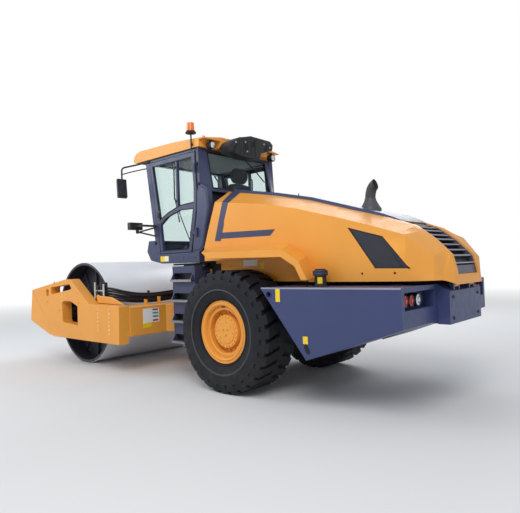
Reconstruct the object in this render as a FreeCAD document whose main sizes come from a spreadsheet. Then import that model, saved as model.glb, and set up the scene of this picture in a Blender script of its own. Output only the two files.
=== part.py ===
# Articulated single-drum road roller, about 36 tonnes, as a parametric assembly in millimetres.
# The machine drives towards +X, +Y is its left side and +Z is up. The ground is Z = 0.
# Outlines are drawn from the rear axle, and a common offset then puts X = 0 at mid length.
import FreeCAD, Part
import math
import os
import Sketcher
from FreeCAD import Rotation, Vector

os.makedirs("parts", exist_ok=True)
doc = FreeCAD.newDocument("road_roller")


class Size:
    """A number together with the sheet expression that gives it, so that sums stay bound."""

    def __init__(self, value, text):
        self.value = value
        self.text = text

    def join(self, sign, other, value, flip=False):
        left, right = (other, self) if flip else (self, other)
        return Size(value, "(%s %s %s)" % (left.text, sign, right.text))

    def __add__(self, other):
        other = as_size(other)
        return self.join("+", other, self.value + other.value)

    __radd__ = __add__

    def __sub__(self, other):
        other = as_size(other)
        return self.join("-", other, self.value - other.value)

    def __rsub__(self, other):
        return as_size(other) - self

    def __mul__(self, other):
        other = as_size(other)
        return self.join("*", other, self.value * other.value)

    __rmul__ = __mul__

    def __truediv__(self, other):
        other = as_size(other)
        return self.join("/", other, self.value / other.value)

    def __neg__(self):
        return Size(-self.value, "(0 - %s)" % self.text)

    def __float__(self):
        return float(self.value)


def as_size(item):
    if isinstance(item, Size):
        return item
    return Size(float(item), "(%.6f)" % item)


# Driving dimensions: name, number and what it measures. Heights named _z are above the ground,
# lengths named _x are ahead of the rear axle, and a reach is measured from the axis it names.
DIMENSIONS = [
    ("running_gap", 0.5, "radial gap of a turning pair"),
    ("fit_gap", 0.3, "gap of a seated pair"),
    ("wheelbase", 3565, "rear axle to drum axis"),
    ("rear_reach", 2575, "rear axle to the tail of the hood"),
    ("nose_reach", 1280, "drum axis to the nose of the side plates"),
    ("tyre_radius", 755, "tyre, out to the lugs' tips"),
    ("tyre_width", 595, "tyre section width"),
    ("tyre_centre_y", 937, "mid plane of each tyre"),
    ("tread_width", 540, "tread, shoulder to shoulder"),
    ("lug_height", 38, "depth of the tread"),
    ("lug_count", 28, "lugs on each side of a tyre"),
    ("bead_radius", 330, "rim seat"),
    ("rim_flange_radius", 385, "rim flange"),
    ("rim_width", 470, "rim, flange to flange"),
    ("rim_wall", 16, "rim metal"),
    ("hub_radius", 192, "hub drive housing"),
    ("hub_face_y", 1105, "outer face of the hub drive"),
    ("spindle_radius", 95, "axle end inside the hub"),
    ("axle_tube_radius", 120, "rear axle tube"),
    ("differential_radius", 235, "bulge at the middle of the axle"),
    ("drum_radius", 855, "drum shell, outside"),
    ("drum_half_width", 1030, "half of the rolling width"),
    ("drum_wall", 42, "drum shell thickness"),
    ("drum_head_y", 760, "outer face of the drum's end heads"),
    ("drum_head_wall", 35, "thickness of the heads"),
    ("journal_radius", 110, "drum journal"),
    ("carrier_radius", 430, "carrier disc between the drum and the frame"),
    ("carrier_y", 975, "inner face of the carrier disc"),
    ("carrier_wall", 30, "carrier disc"),
    ("buffer_radius", 58, "rubber buffer"),
    ("buffer_ring_radius", 350, "circle of buffers"),
    ("plate_inner_y", 1221, "inner face of the front side plates"),
    ("plate_wall", 174, "side plates, as thick boxes"),
    ("plate_bottom_drop", 388, "drum axis down to the plates' lower edge"),
    ("plate_peak_rise", 585, "drum axis up to the plates' peak"),
    ("plate_corner", 45, "rounding of the plates' outline"),
    ("beam_reach", 1648, "drum axis back to the rear crossbeam"),
    ("beam_depth", 430, "rear crossbeam, front to back"),
    ("beam_bottom_z", 570, "underside of the rear crossbeam"),
    ("beam_top_z", 1000, "top of the rear crossbeam"),
    ("socket_reach", 250, "steering pin to the swivel socket"),
    ("socket_half_width", 430, "swivel socket"),
    ("pivot_reach", 2015, "drum axis back to the steering pin"),
    ("pivot_z", 750, "swivel shaft"),
    ("pin_radius", 60, "steering pin"),
    ("knuckle_radius", 150, "knuckle round the steering pin"),
    ("knuckle_half_height", 215, "knuckle"),
    ("swivel_radius", 110, "swivel shaft ahead of the knuckle"),
    ("swivel_reach", 520, "pin to the end of the swivel shaft"),
    ("ear_wall", 65, "hitch ears"),
    ("cylinder_y", 270, "steering cylinders"),
    ("cylinder_z", 610, "steering cylinders"),
    ("cylinder_reach", 760, "steering pin back to the barrel pins"),
    ("cylinder_radius", 55, "barrel"),
    ("rod_radius", 28, "piston rod"),
    ("rod_pin_reach", 60, "steering pin ahead to the rod pins"),
    ("eye_radius", 62, "barrel and rod eyes"),
    ("chassis_half_width", 410, "outside of the frame rails"),
    ("rail_wall", 60, "frame rails"),
    ("rail_bottom_z", 915, "underside of the rails"),
    ("deck_z", 1303, "top of the side boxes"),
    ("chassis_top_z", 1262, "top of the frame"),
    ("chassis_rear_x", -2330, "rear end of the frame"),
    ("hitch_reach", 270, "steering pin back to the frame's box"),
    ("box_outer_y", 1244, "side boxes"),
    ("box_front_x", -705, "side boxes, top front corner"),
    ("box_rear_x", -2398, "left side box, rear face"),
    ("box_rear_step", 78, "right side box, rear face ahead of the left one"),
    ("box_heel_x", -1307, "side boxes, lowest corner"),
    ("box_heel_z", 547, "side boxes, lowest corner"),
    ("box_rear_bottom_z", 925, "side boxes, rear lower edge"),
    ("lamp_bay_depth", 120, "recess for the tail lamps"),
    ("tie_hole_radius", 32, "lifting and tie-down holes"),
    ("tie_hole_depth", 140, "lifting and tie-down holes"),
    ("weight_rear_x", -2525, "rear face of the counterweight"),
    ("weight_half_width", 455, "counterweight"),
    ("weight_bottom_z", 895, "underside of the counterweight"),
    ("hood_half_width", 800, "hood sides"),
    ("hood_wall", 30, "hood panels"),
    ("hood_bottom_z", 1345, "lower edge of the hood"),
    ("hood_hinge_x", -2495, "hood hinge"),
    ("hood_hinge_z", 1281, "hood hinge"),
    ("hinge_radius", 20, "hinge knuckles"),
    ("hinge_pin_radius", 10, "hinge pins"),
    ("hinge_y", 220, "hood hinge knuckles, centre"),
    ("hinge_length", 90, "hood hinge knuckles"),
    ("arch_inner_y", 585, "wheel-arch wall"),
    ("arch_top_z", 1640, "wheel-arch opening"),
    ("arch_rear_x", -1000, "wheel-arch opening"),
    ("flare_y", 1110, "outer edge of the flares"),
    ("slat_count", 9, "tail louvres"),
    ("slat_wall", 14, "tail louvres"),
    ("slat_depth", 62, "tail louvres"),
    ("grille_half_width", 300, "tail louvres"),
    ("exhaust_x", -1440, "exhaust stub"),
    ("exhaust_radius", 65, "exhaust stub"),
    ("cab_half_width", 800, "cab sides"),
    ("cab_floor_z", 1775, "cab floor"),
    ("cab_bottom_z", 1625, "underside of the cab"),
    ("cab_rear_x", 812, "cab's lower rear wall"),
    ("cab_wall", 45, "cab panels and door frames"),
    ("pillar_width", 95, "front pillars"),
    ("cab_front_top_x", 2000, "top of the front pillars"),
    ("cab_front_foot_x", 1800, "foot of the front pillars"),
    ("cab_front_foot_z", 1930, "foot of the front pillars"),
    ("cab_top_z", 3240, "top of the cab frame"),
    ("sill_z", 2660, "rear window sill"),
    ("rear_post_taper", 135, "cab sides in to the rear window's posts"),
    ("glass_wall", 10, "panes"),
    ("door_bottom_z", 1784, "lower edge of the doors"),
    ("door_top_z", 3185, "upper edge of the doors"),
    ("door_hinge_x", 822, "door hinges"),
    ("door_hinge_stand", 32, "door hinges beside the cab"),
    ("door_pin_radius", 8, "door hinge pins"),
    ("door_gap", 9, "gap round each door"),
    ("door_frame", 62, "width of the door frames"),
    ("door_sill", 34, "lower member of the door frames"),
    ("roof_front_x", 2290, "roof's front edge"),
    ("roof_rear_x", 620, "roof's rear edge"),
    ("roof_bottom_z", 3240, "underside of the roof"),
    ("roof_top_z", 3405, "top of the roof"),
    ("beacon_x", 865, "beacon"),
    ("beacon_rise", 340, "top of the cab frame up to the top of the beacon"),
    ("ladder_y", 875, "outer face of the ladders"),
    ("ladder_front_x", 1320, "ladder"),
    ("ladder_rear_x", 832, "ladder"),
    ("step_wall", 26, "ladder treads"),
    ("ladder_wall", 12, "ladder sheet"),
    ("tread_reach", 60, "how far the treads stick out"),
    ("seat_y", -220, "middle of the seat and the steering wheel"),
    ("mirror_x", 2300, "mirrors"),
    ("mirror_y", 1035, "mirrors"),
    ("tube_radius", 13, "mirror and lamp arms"),
    ("hose_radius", 19, "hydraulic hoses"),
]

sheet = doc.addObject("Spreadsheet::Sheet", "Sizes")
for row, (alias, number, meaning) in enumerate(DIMENSIONS, 1):
    sheet.set("A%d" % row, alias)
    sheet.set("B%d" % row, str(number))
    sheet.set("C%d" % row, meaning)
    sheet.setAlias("B%d" % row, alias)
doc.recompute()


class Driving:
    """Every driving dimension by its name."""


d = Driving()
for alias, number, meaning in DIMENSIONS:
    setattr(d, alias, Size(float(number), "Sizes." + alias))

drum_x = d.wheelbase
drum_z = d.drum_radius
beam_rear_x = drum_x - d.beam_reach
pivot_x = drum_x - d.pivot_reach
socket_rear_x = pivot_x + d.socket_reach
cylinder_root_x = pivot_x - d.cylinder_reach
chassis_front_x = pivot_x - d.hitch_reach
door_hinge_y = d.cab_half_width + d.door_hinge_stand
rear_half_width = d.cab_half_width - d.rear_post_taper
axle_z = d.tyre_radius
zero = as_size(0)
datum_x = (d.rear_reach - d.wheelbase - d.nose_reach) / 2
SIDES = (("left", 1), ("right", -1))
nodes = []


def keep(item, label, x=zero, y=zero, z=zero):
    """Name a finished sub-part and place it in the machine's frame."""
    item.Label = label
    item.setExpression("Placement.Base.x", (datum_x + x).text)
    item.setExpression("Placement.Base.y", as_size(y).text)
    item.setExpression("Placement.Base.z", as_size(z).text)
    nodes.append(item)
    return item


def new_body(label):
    body = doc.addObject("PartDesign::Body", label)
    body.AllowCompound = True
    return body


def span(side, inner, outer):
    """The low and high Y of a stretch from inner to outer on one side of the machine."""
    if side > 0:
        return as_size(inner), as_size(outer)
    return -as_size(outer), -as_size(inner)


def draw(body, plane, offset, loops):
    """A sketch of closed loops on a plane through the rear axle: XY, XZ or YZ."""
    sketch = body.newObject("Sketcher::SketchObject", body.Name + "_outline")
    base = [item for item in body.Origin.OriginFeatures if item.Role == plane + "_Plane"][0]
    sketch.AttachmentSupport = [(base, "")]
    sketch.MapMode = "FlatFace"
    sketch.setExpression("AttachmentOffset.Base.z", as_size(offset).text)
    rules = []
    bound = []
    first = 0
    for loop in loops:
        if loop[0] == "circle":
            u, v, radius = [as_size(item) for item in loop[1:]]
            centre = Vector(u.value, v.value, 0)
            sketch.addGeometry(Part.Circle(centre, Vector(0, 0, 1), radius.value), False)
            rules.append(Sketcher.Constraint("Radius", first, radius.value))
            bound.append((len(rules) - 1, radius))
            marks = [(3, u, v)]
            curves = 1
        else:
            points = [(as_size(u), as_size(v)) for u, v in loop]
            curves = len(points)
            for here, there in zip(points, points[1:] + points[:1]):
                start = Vector(here[0].value, here[1].value, 0)
                end = Vector(there[0].value, there[1].value, 0)
                sketch.addGeometry(Part.LineSegment(start, end), False)
            for index in range(curves):
                rules.append(Sketcher.Constraint(
                    "Coincident", first + index, 2, first + (index + 1) % curves, 1))
            marks = [(1, u, v) for u, v in points]
        for index, (spot, u, v) in enumerate(marks):
            for kind, distance in (("DistanceX", u), ("DistanceY", v)):
                rules.append(Sketcher.Constraint(
                    kind, -1, 1, first + index, spot, distance.value))
                bound.append((len(rules) - 1, distance))
        first += curves
    sketch.addConstraint(rules)
    for index, distance in bound:
        if "Sizes." in distance.text:
            sketch.setExpression("Constraints[%d]" % index, distance.text)
    return sketch


def feature(kind, body, plane, low, high, *loops):
    """A Pad or Pocket between two stations along the plane's own world axis."""
    low, high = as_size(low), as_size(high)
    offset = -high if plane == "XZ" else low
    item = body.newObject("PartDesign::" + kind, body.Name + "_" + kind.lower())
    item.Profile = draw(body, plane, offset, loops)
    item.setExpression("Length", (high - low).text)
    if kind == "Pocket":
        item.Reversed = True
    body.Tip = item
    return item


def pad(body, plane, low, high, *loops):
    return feature("Pad", body, plane, low, high, *loops)


def pocket(body, plane, low, high, *loops):
    doc.recompute()
    before = body.Shape.Volume
    item = feature("Pocket", body, plane, low, high, *loops)
    doc.recompute()
    if body.Shape.Volume > before - 1:
        raise ValueError("a pocket of %s cuts nothing" % body.Name)
    return item


def turn(kind, body, plane, axis, *loops):
    """A Revolution or Groove of loops about the sketch's H_Axis or V_Axis."""
    item = body.newObject("PartDesign::" + kind, body.Name + "_" + kind.lower())
    sketch = draw(body, plane, zero, loops)
    item.Profile = sketch
    item.ReferenceAxis = (sketch, [axis])
    item.Angle = 360
    body.Tip = item
    return item


def bevel(kind, body, size, wanted):
    """Fillet or chamfer the edges of the body that pass the test."""
    doc.recompute()
    names = []
    tip = body.Tip
    for index, edge in enumerate(tip.Shape.Edges, 1):
        if len(edge.Vertexes) == 2 and wanted(edge.Vertexes[0].Point, edge.Vertexes[1].Point):
            names.append("Edge%d" % index)
    if not names:
        raise ValueError("no edge to round on " + body.Name)
    item = body.newObject("PartDesign::" + kind, body.Name + "_" + kind.lower())
    item.Base = (tip, names)
    item.setExpression("Radius" if kind == "Fillet" else "Size", as_size(size).text)
    body.Tip = item
    return item


def boolean(kind, label, *items):
    """Part::Cut of two items, or Part::MultiFuse of several."""
    item = doc.addObject("Part::" + kind, label)
    if kind == "Cut":
        item.Base, item.Tool = items
    else:
        item.Shapes = list(items)
    return item


def rounded_path(points, bend):
    """Straight runs joined by tangent arcs, as one wire. With no bend each arc is as large as fits."""
    spots = [Vector(*[as_size(value).value for value in point]) for point in points]
    edges = []
    start = spots[0]
    for before, corner, after in zip(spots, spots[1:], spots[2:]):
        back = (before - corner).normalize()
        ahead = (after - corner).normalize()
        half = back.getAngle(ahead) / 2
        shorter = min((before - corner).Length, (after - corner).Length)
        radius = bend if bend else 0.45 * shorter * math.tan(half)
        inset = radius / math.tan(half)
        first = corner + back * inset
        last = corner + ahead * inset
        middle = corner + (back + ahead).normalize() * (radius / math.sin(half) - radius)
        edges.append(Part.LineSegment(start, first).toShape())
        edges.append(Part.Arc(first, middle, last).toShape())
        start = last
    edges.append(Part.LineSegment(start, spots[-1]).toShape())
    return Part.Wire(edges)


def tube(label, points, radius, bend):
    """A round bar along straight runs and arcs."""
    path = rounded_path(points, bend)
    start = path.Edges[0].valueAt(path.Edges[0].FirstParameter)
    heading = path.Edges[0].tangentAt(path.Edges[0].FirstParameter)
    ring = Part.Wire(Part.Circle(start, heading, as_size(radius).value).toShape())
    item = doc.addObject("Part::Feature", label)
    item.Shape = path.makePipeShell([ring], True, False)
    return item


def box_loop(u0, u1, v0, v1):
    return [(u0, v0), (u1, v0), (u1, v1), (u0, v1)]


# Front frame: two box-like side plates that carry the drum between them


def front_side_plate(name, side):
    body = new_body("front_side_plate_" + name)
    low = drum_z - d.plate_bottom_drop
    peak = drum_z + d.plate_peak_rise
    outline = [
        (beam_rear_x + 31, low), (drum_x + 373, low - 2), (drum_x + 567, low + 22),
        (drum_x + d.nose_reach, drum_z - 155), (drum_x + d.nose_reach - 76, drum_z + 402),
        (drum_x - 30, peak - 4), (drum_x - 214, peak), (drum_x - 795, d.beam_top_z + 44), (beam_rear_x + 8, d.beam_top_z + 30),
    ]
    eye = [
        (drum_x - 433, drum_z - 166), (drum_x - 317, drum_z - 154), (drum_x + 40, drum_z - 137),
        (drum_x + 73, drum_z - 100), (drum_x + 73, drum_z + 190), (drum_x + 15, drum_z + 221),
        (drum_x - 214, drum_z + 221), (drum_x - 433, drum_z + 144),
    ]
    slot = [
        (drum_x - 205, drum_z + 415), (drum_x + 446, drum_z + 328), (drum_x + 466, drum_z + 348),
        (drum_x + 470, drum_z + 430), (drum_x + 448, drum_z + 450), (drum_x - 187, drum_z + 503),
        (drum_x - 246, drum_z + 434),
    ]
    small_slot = [
        (drum_x + 560, drum_z + 303), (drum_x + 640, drum_z + 293), (drum_x + 660, drum_z + 392),
        (drum_x + 640, drum_z + 408), (drum_x + 570, drum_z + 414), (drum_x + 553, drum_z + 398),
    ]
    low_y, high_y = span(side, d.plate_inner_y, d.plate_inner_y + d.plate_wall)
    pad(body, "XZ", low_y, high_y, outline, eye, slot, small_slot)
    bevel("Fillet", body, d.plate_corner, along_y(peak_of(outline)))
    return keep(body, body.Name)


def peak_of(outline):
    """The places of an outline's upper corners, as plain numbers."""
    corners = sorted(outline, key=lambda point: -as_size(point[1]).value)[:4]
    return [(as_size(u).value, as_size(v).value) for u, v in corners]


def along_y(places):
    """A test for edges that run along Y through one of the places."""
    def wanted(start, end):
        if abs(start.x - end.x) > 1 or abs(start.z - end.z) > 1:
            return False
        return any(abs(start.x - u) < 1 and abs(start.z - v) < 1 for u, v in places)
    return wanted


for name, side in SIDES:
    front_side_plate(name, side)


def rear_crossbeam():
    body = new_body("rear_crossbeam")
    back, front = beam_rear_x, beam_rear_x + d.beam_depth
    bend_y = d.socket_half_width + 130
    half = [(back, d.plate_inner_y), (back, bend_y), (socket_rear_x, d.socket_half_width)]
    outline = half + [(x, -y) for x, y in reversed(half)]
    outline += [(front, -d.plate_inner_y), (front, d.plate_inner_y)]
    pad(body, "XY", d.beam_bottom_z, d.beam_top_z, outline)
    bore = ("circle", zero, d.pivot_z, d.swivel_radius + d.running_gap)
    pocket(body, "YZ", socket_rear_x, pivot_x + d.swivel_reach + 10, bore)
    return keep(body, "rear_crossbeam")


rear_crossbeam()


def front_crossbeam():
    body = new_body("front_crossbeam")
    back = drum_x + d.drum_radius + 110
    outline = [
        (back, drum_z - 250), (back + 215, drum_z - 190), (back + 215, drum_z + 40),
        (back, drum_z + 40),
    ]
    pad(body, "XZ", -d.plate_inner_y, d.plate_inner_y, outline)
    return keep(body, "front_crossbeam")


front_crossbeam()


def drum_scrapers():
    """Steel blades that ride close to the drum, one on each crossbeam."""
    body = new_body("drum_scrapers")
    rear_front_x = drum_x - d.drum_radius + 45
    pad(body, "XZ", -d.drum_half_width, d.drum_half_width,
        box_loop(beam_rear_x + d.beam_depth, rear_front_x - 20, drum_z - 270, drum_z - 245))
    nose_back = drum_x + d.drum_radius + 110
    pad(body, "XZ", -d.drum_half_width, d.drum_half_width,
        box_loop(nose_back - 85, nose_back, drum_z - 60, drum_z - 35))
    return keep(body, "drum_scrapers")


drum_scrapers()


def drum():
    """Rolled shell with a recessed head and a journal at each end."""
    body = new_body("drum")
    inner = d.drum_radius - d.drum_wall
    head_back = d.drum_head_y - d.drum_head_wall
    turn("Revolution", body, "YZ", "H_Axis", [
        (-d.drum_half_width, inner), (-d.drum_head_y, inner),
        (-d.drum_head_y, d.journal_radius), (-d.carrier_y + 10, d.journal_radius),
        (-d.carrier_y + 10, 0), (d.carrier_y - 10, 0),
        (d.carrier_y - 10, d.journal_radius), (d.drum_head_y, d.journal_radius),
        (d.drum_head_y, inner), (d.drum_half_width, inner),
        (d.drum_half_width, d.drum_radius), (-d.drum_half_width, d.drum_radius),
    ])
    turn("Groove", body, "YZ", "H_Axis", [
        (-head_back, d.journal_radius + 60), (head_back, d.journal_radius + 60),
        (head_back, inner), (-head_back, inner),
    ])
    return keep(body, "drum", drum_x, zero, drum_z)


drum()


def drum_mounts():
    """Carrier discs that hold the journals, hung on rubber buffers from the side plates."""
    body = new_body("drum_mounts")
    for name, side in SIDES:
        bore = d.journal_radius + d.running_gap
        face = d.carrier_y + d.carrier_wall
        foot = d.plate_inner_y - 30
        profile = [
            (d.drum_head_y + 12, bore), (d.carrier_y, bore), (d.carrier_y, 0), (face + 110, 0),
            (face + 110, 135), (face, 135), (face, d.carrier_radius), (d.carrier_y, d.carrier_radius),
            (d.carrier_y, 190), (d.drum_head_y + 12, 190),
        ]
        turn("Revolution", body, "YZ", "H_Axis", [(side * y, r) for y, r in profile])
        buffers = []
        for index in range(8):
            angle = math.radians(45 * index + 22.5)
            buffers.append(("circle", d.buffer_ring_radius * math.cos(angle),
                            d.buffer_ring_radius * math.sin(angle), d.buffer_radius))
        low, high = span(side, face, foot)
        pad(body, "XZ", low, high, *buffers)
        ring = d.buffer_ring_radius + d.buffer_radius + 20
        low, high = span(side, foot, d.plate_inner_y)
        pad(body, "XZ", low, high, ("circle", 0, 0, ring), ("circle", 0, 0, 230))
    return keep(body, "drum_mounts", drum_x, zero, drum_z)


drum_mounts()

# Centre joint: the knuckle steers about an upright pin and carries the swivel shaft


def centre_joint():
    body = new_body("centre_joint")
    low = d.pivot_z - d.knuckle_half_height
    high = d.pivot_z + d.knuckle_half_height
    pad(body, "XY", low, high, ("circle", pivot_x, 0, d.knuckle_radius))
    pad(body, "YZ", pivot_x, pivot_x + d.swivel_reach, ("circle", 0, d.pivot_z, d.swivel_radius))
    collar = d.swivel_radius + 45
    pad(body, "YZ", pivot_x + 60, socket_rear_x - d.running_gap,
        ("circle", 0, d.pivot_z, collar))
    arm_x = pivot_x + d.rod_pin_reach
    arm = [
        (pivot_x, d.cylinder_y + 60), (pivot_x, -d.cylinder_y - 60),
        (arm_x + 60, -d.cylinder_y - 60), (arm_x + 60, d.cylinder_y + 60),
    ]
    arm_top = d.cylinder_z - 45
    pad(body, "XY", low, arm_top, arm)
    pocket(body, "XY", low - 10, high + 10, ("circle", pivot_x, 0, d.pin_radius + d.running_gap))
    return keep(body, "centre_joint")


centre_joint()


def steering_cylinder(name, side):
    """Barrel with its eye on the rear frame, and rod whose eye lies on the knuckle's arm."""
    y = side * d.cylinder_y
    rod_x = pivot_x + d.rod_pin_reach
    barrel_front = rod_x - 270
    half = d.cylinder_radius - 9
    barrel = new_body("steering_barrel_" + name)
    pad(barrel, "XY", d.cylinder_z - half, d.cylinder_z + half,
        ("circle", cylinder_root_x, y, d.eye_radius))
    pad(barrel, "YZ", cylinder_root_x + 40, barrel_front,
        ("circle", y, d.cylinder_z, d.cylinder_radius))
    pocket(barrel, "XY", d.cylinder_z - half - 20, d.cylinder_z + half + 20,
           ("circle", cylinder_root_x, y, d.pin_radius / 2 + d.running_gap))
    pocket(barrel, "YZ", cylinder_root_x + 130, barrel_front,
           ("circle", y, d.cylinder_z, d.rod_radius + d.running_gap))
    keep(barrel, barrel.Name)
    half = as_size(45)
    rod = new_body("steering_rod_" + name)
    pad(rod, "YZ", cylinder_root_x + 330, rod_x - d.eye_radius / 2,
        ("circle", y, d.cylinder_z, d.rod_radius))
    pad(rod, "XY", d.cylinder_z - half + d.fit_gap, d.cylinder_z + half,
        ("circle", rod_x, y, d.eye_radius))
    keep(rod, rod.Name)


for name, side in SIDES:
    steering_cylinder(name, side)

# Rear frame: rails over the axle, a box under the cab, and the hitch ears


def rear_chassis():
    body = new_body("rear_chassis")
    inner = d.chassis_half_width - d.rail_wall
    for name, side in SIDES:
        low, high = span(side, inner, d.chassis_half_width)
        pad(body, "XZ", low, high,
            box_loop(d.chassis_rear_x, chassis_front_x, d.rail_bottom_z, d.chassis_top_z))
    deck_low = d.chassis_top_z - 40
    pad(body, "XY", deck_low, d.chassis_top_z,
        box_loop(d.chassis_rear_x, chassis_front_x, -d.chassis_half_width, d.chassis_half_width))
    front_low = d.pivot_z - d.knuckle_half_height - d.ear_wall - 5
    pad(body, "XY", front_low, d.chassis_top_z,
        box_loop(chassis_front_x - 150, chassis_front_x, -d.chassis_half_width,
                 d.chassis_half_width))
    cheek = [
        (chassis_front_x - 585, d.rail_bottom_z), (chassis_front_x - 465, front_low),
        (chassis_front_x, front_low), (chassis_front_x, d.rail_bottom_z),
    ]
    for name, side in SIDES:
        low, high = span(side, inner, d.chassis_half_width)
        pad(body, "XZ", low, high, cheek)
    top_ear = d.pivot_z + d.knuckle_half_height + 5
    ear = [
        (chassis_front_x - 10, d.knuckle_radius + 90), (pivot_x, d.knuckle_radius),
        (pivot_x + 90, 90), (pivot_x + 90, -90),
        (pivot_x, -d.knuckle_radius), (chassis_front_x - 10, -d.knuckle_radius - 90),
    ]
    pad(body, "XY", top_ear, top_ear + d.ear_wall, ear)
    pad(body, "XY", front_low, front_low + d.ear_wall, ear)
    pad(body, "XY", front_low, top_ear + d.ear_wall + 25, ("circle", pivot_x, 0, d.pin_radius))
    bracket_top = d.cylinder_z - d.cylinder_radius - d.fit_gap
    for name, side in SIDES:
        y = side * d.cylinder_y
        pad(body, "XY", front_low, bracket_top,
            box_loop(cylinder_root_x - 70, chassis_front_x - 140, y - 65, y + 65))
        pad(body, "XY", front_low, d.cylinder_z + 60, ("circle", cylinder_root_x, y, d.pin_radius / 2))
        low, high = span(side, d.cylinder_y - 115, inner - 3)
        pocket(body, "XY", d.cylinder_z - 75, d.cylinder_z + 85,
               box_loop(chassis_front_x - 160, chassis_front_x + 5, low, high))
    saddle = box_loop(-170, 170, axle_z + d.axle_tube_radius + d.fit_gap, d.rail_bottom_z + 20)
    for name, side in SIDES:
        low, high = span(side, inner, d.chassis_half_width)
        pad(body, "XZ", low, high, saddle)
    platform = box_loop(640, chassis_front_x + 40, -540, 540)
    pad(body, "XY", d.chassis_top_z, d.cab_bottom_z - 60, platform)
    feet = []
    for x in (800, 1220):
        for y in (-470, 470):
            feet.append(("circle", x, y, 60))
    pad(body, "XY", d.cab_bottom_z - 60, d.cab_bottom_z, *feet)
    return keep(body, "rear_chassis")


rear_chassis()


def rear_axle():
    """Tube, differential bulge and spindles, turned about the wheels' axis."""
    body = new_body("rear_axle")
    hub_back = d.tyre_centre_y - d.rim_width / 2 + 60
    half = [
        (hub_back + 140, 0), (hub_back + 140, d.spindle_radius),
        (hub_back - 8, d.spindle_radius), (hub_back - 8, d.axle_tube_radius + 30),
        (hub_back - 60, d.axle_tube_radius + 30), (hub_back - 60, d.axle_tube_radius),
        (310, d.axle_tube_radius), (150, d.differential_radius),
    ]
    mirrored = [(-y, r) for y, r in reversed(half)]
    turn("Revolution", body, "YZ", "H_Axis", half + mirrored)
    return keep(body, "rear_axle", zero, zero, axle_z)


rear_axle()


GROOVE_SHARE = 0.32
LUG_SLANT = 95
SHOULDER_GROOVE = 75


def tread_grooves(label, side):
    """What is left out of the tread between its lugs: slanted channels from near the middle to the
    shoulder, each running on down the side wall, half a pitch apart on the two shoulders."""
    floor_r = (d.tyre_radius - d.lug_height).value
    centre = d.tyre_centre_y.value
    half_section = (d.tyre_width / 2).value
    count = int(d.lug_count.value)
    wide = 2 * math.pi * d.tyre_radius.value / count * GROOVE_SHARE
    high = d.lug_height.value + 30
    solids = []
    for flank in (1, -1):
        channel = Part.makePolygon([
            Vector(-wide / 2 + LUG_SLANT, flank * 34, floor_r),
            Vector(wide / 2 + LUG_SLANT, flank * 34, floor_r),
            Vector(wide / 2, flank * (half_section + 20), floor_r),
            Vector(-wide / 2, flank * (half_section + 20), floor_r),
            Vector(-wide / 2 + LUG_SLANT, flank * 34, floor_r)])
        channel = Part.Face(channel).extrude(Vector(0, 0, high))
        shoulder = Part.makeBox(wide, 60, SHOULDER_GROOVE, Vector(
            -wide / 2, flank * (half_section - 26) - (60 if flank < 0 else 0),
            floor_r - SHOULDER_GROOVE + 1))
        cutter = channel.fuse(shoulder)
        for index in range(count):
            turned = cutter.copy()
            angle = 360 / count * (index + (0.5 if flank == side else 0))
            turned.rotate(Vector(0, 0, 0), Vector(0, 1, 0), angle)
            turned.translate(Vector(0, side * centre, 0))
            solids.append(turned)
    item = doc.addObject("Part::Feature", label)
    item.Shape = Part.makeCompound(solids)
    return item


def wheel(name, side):
    rim = new_body("wheel_rim_" + name)
    inboard = d.tyre_centre_y - d.rim_width / 2
    outboard = d.tyre_centre_y + d.rim_width / 2
    seat = d.bead_radius
    inner = seat - d.rim_wall
    hub_back = inboard + 60
    web = outboard - 130
    profile = [
        (inboard, inner), (hub_back + 60, inner), (web - 20, inner), (web - 20, d.hub_radius),
        (hub_back, d.hub_radius), (hub_back, d.spindle_radius + d.running_gap),
        (hub_back + 145, d.spindle_radius + d.running_gap), (hub_back + 145, 0),
        (d.hub_face_y + 18, 0), (d.hub_face_y + 18, 95), (d.hub_face_y, 110),
        (d.hub_face_y, d.hub_radius - 15), (d.hub_face_y - 15, d.hub_radius),
        (web, d.hub_radius + 8), (web, inner - 45), (outboard - 60, inner),
        (outboard, inner + 10), (outboard, d.rim_flange_radius),
        (outboard - d.rim_wall, d.rim_flange_radius), (outboard - d.rim_wall, seat),
        (inboard + d.rim_wall, seat), (inboard + d.rim_wall, d.rim_flange_radius),
        (inboard, d.rim_flange_radius),
    ]
    turn("Revolution", rim, "YZ", "H_Axis", [(side * y, r) for y, r in profile])
    keep(rim, rim.Name, zero, zero, axle_z)
    tyre = new_body("tyre_casing_" + name)
    bore = seat + d.fit_gap
    half_bead = d.rim_width / 2 - d.rim_wall - d.fit_gap
    half_section = d.tyre_width / 2
    half_tread = d.tread_width / 2
    flank = [
        (half_bead, bore), (half_bead, d.rim_flange_radius + 6),
        (half_bead + 30, d.rim_flange_radius + 12), (half_section, d.bead_radius + 200),
        (half_section - 4, d.bead_radius + 270), (half_tread, d.tyre_radius - 45),
        (half_tread - 28, d.tyre_radius),
    ]
    section = [(side * (d.tyre_centre_y + y), r) for y, r in flank]
    section += [(side * (d.tyre_centre_y - y), r) for y, r in reversed(flank)]
    turn("Revolution", tyre, "YZ", "H_Axis", section)
    grooves = tread_grooves("tyre_grooves_" + name, side)
    keep(boolean("Cut", "grooved_tyre_" + name, tyre, grooves), "tyre_" + name, zero, zero, axle_z)


for name, side in SIDES:
    wheel(name, side)


def box_end(side):
    """The left box reaches further back than the right one."""
    return d.box_rear_x if side > 0 else d.box_rear_x + d.box_rear_step


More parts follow.
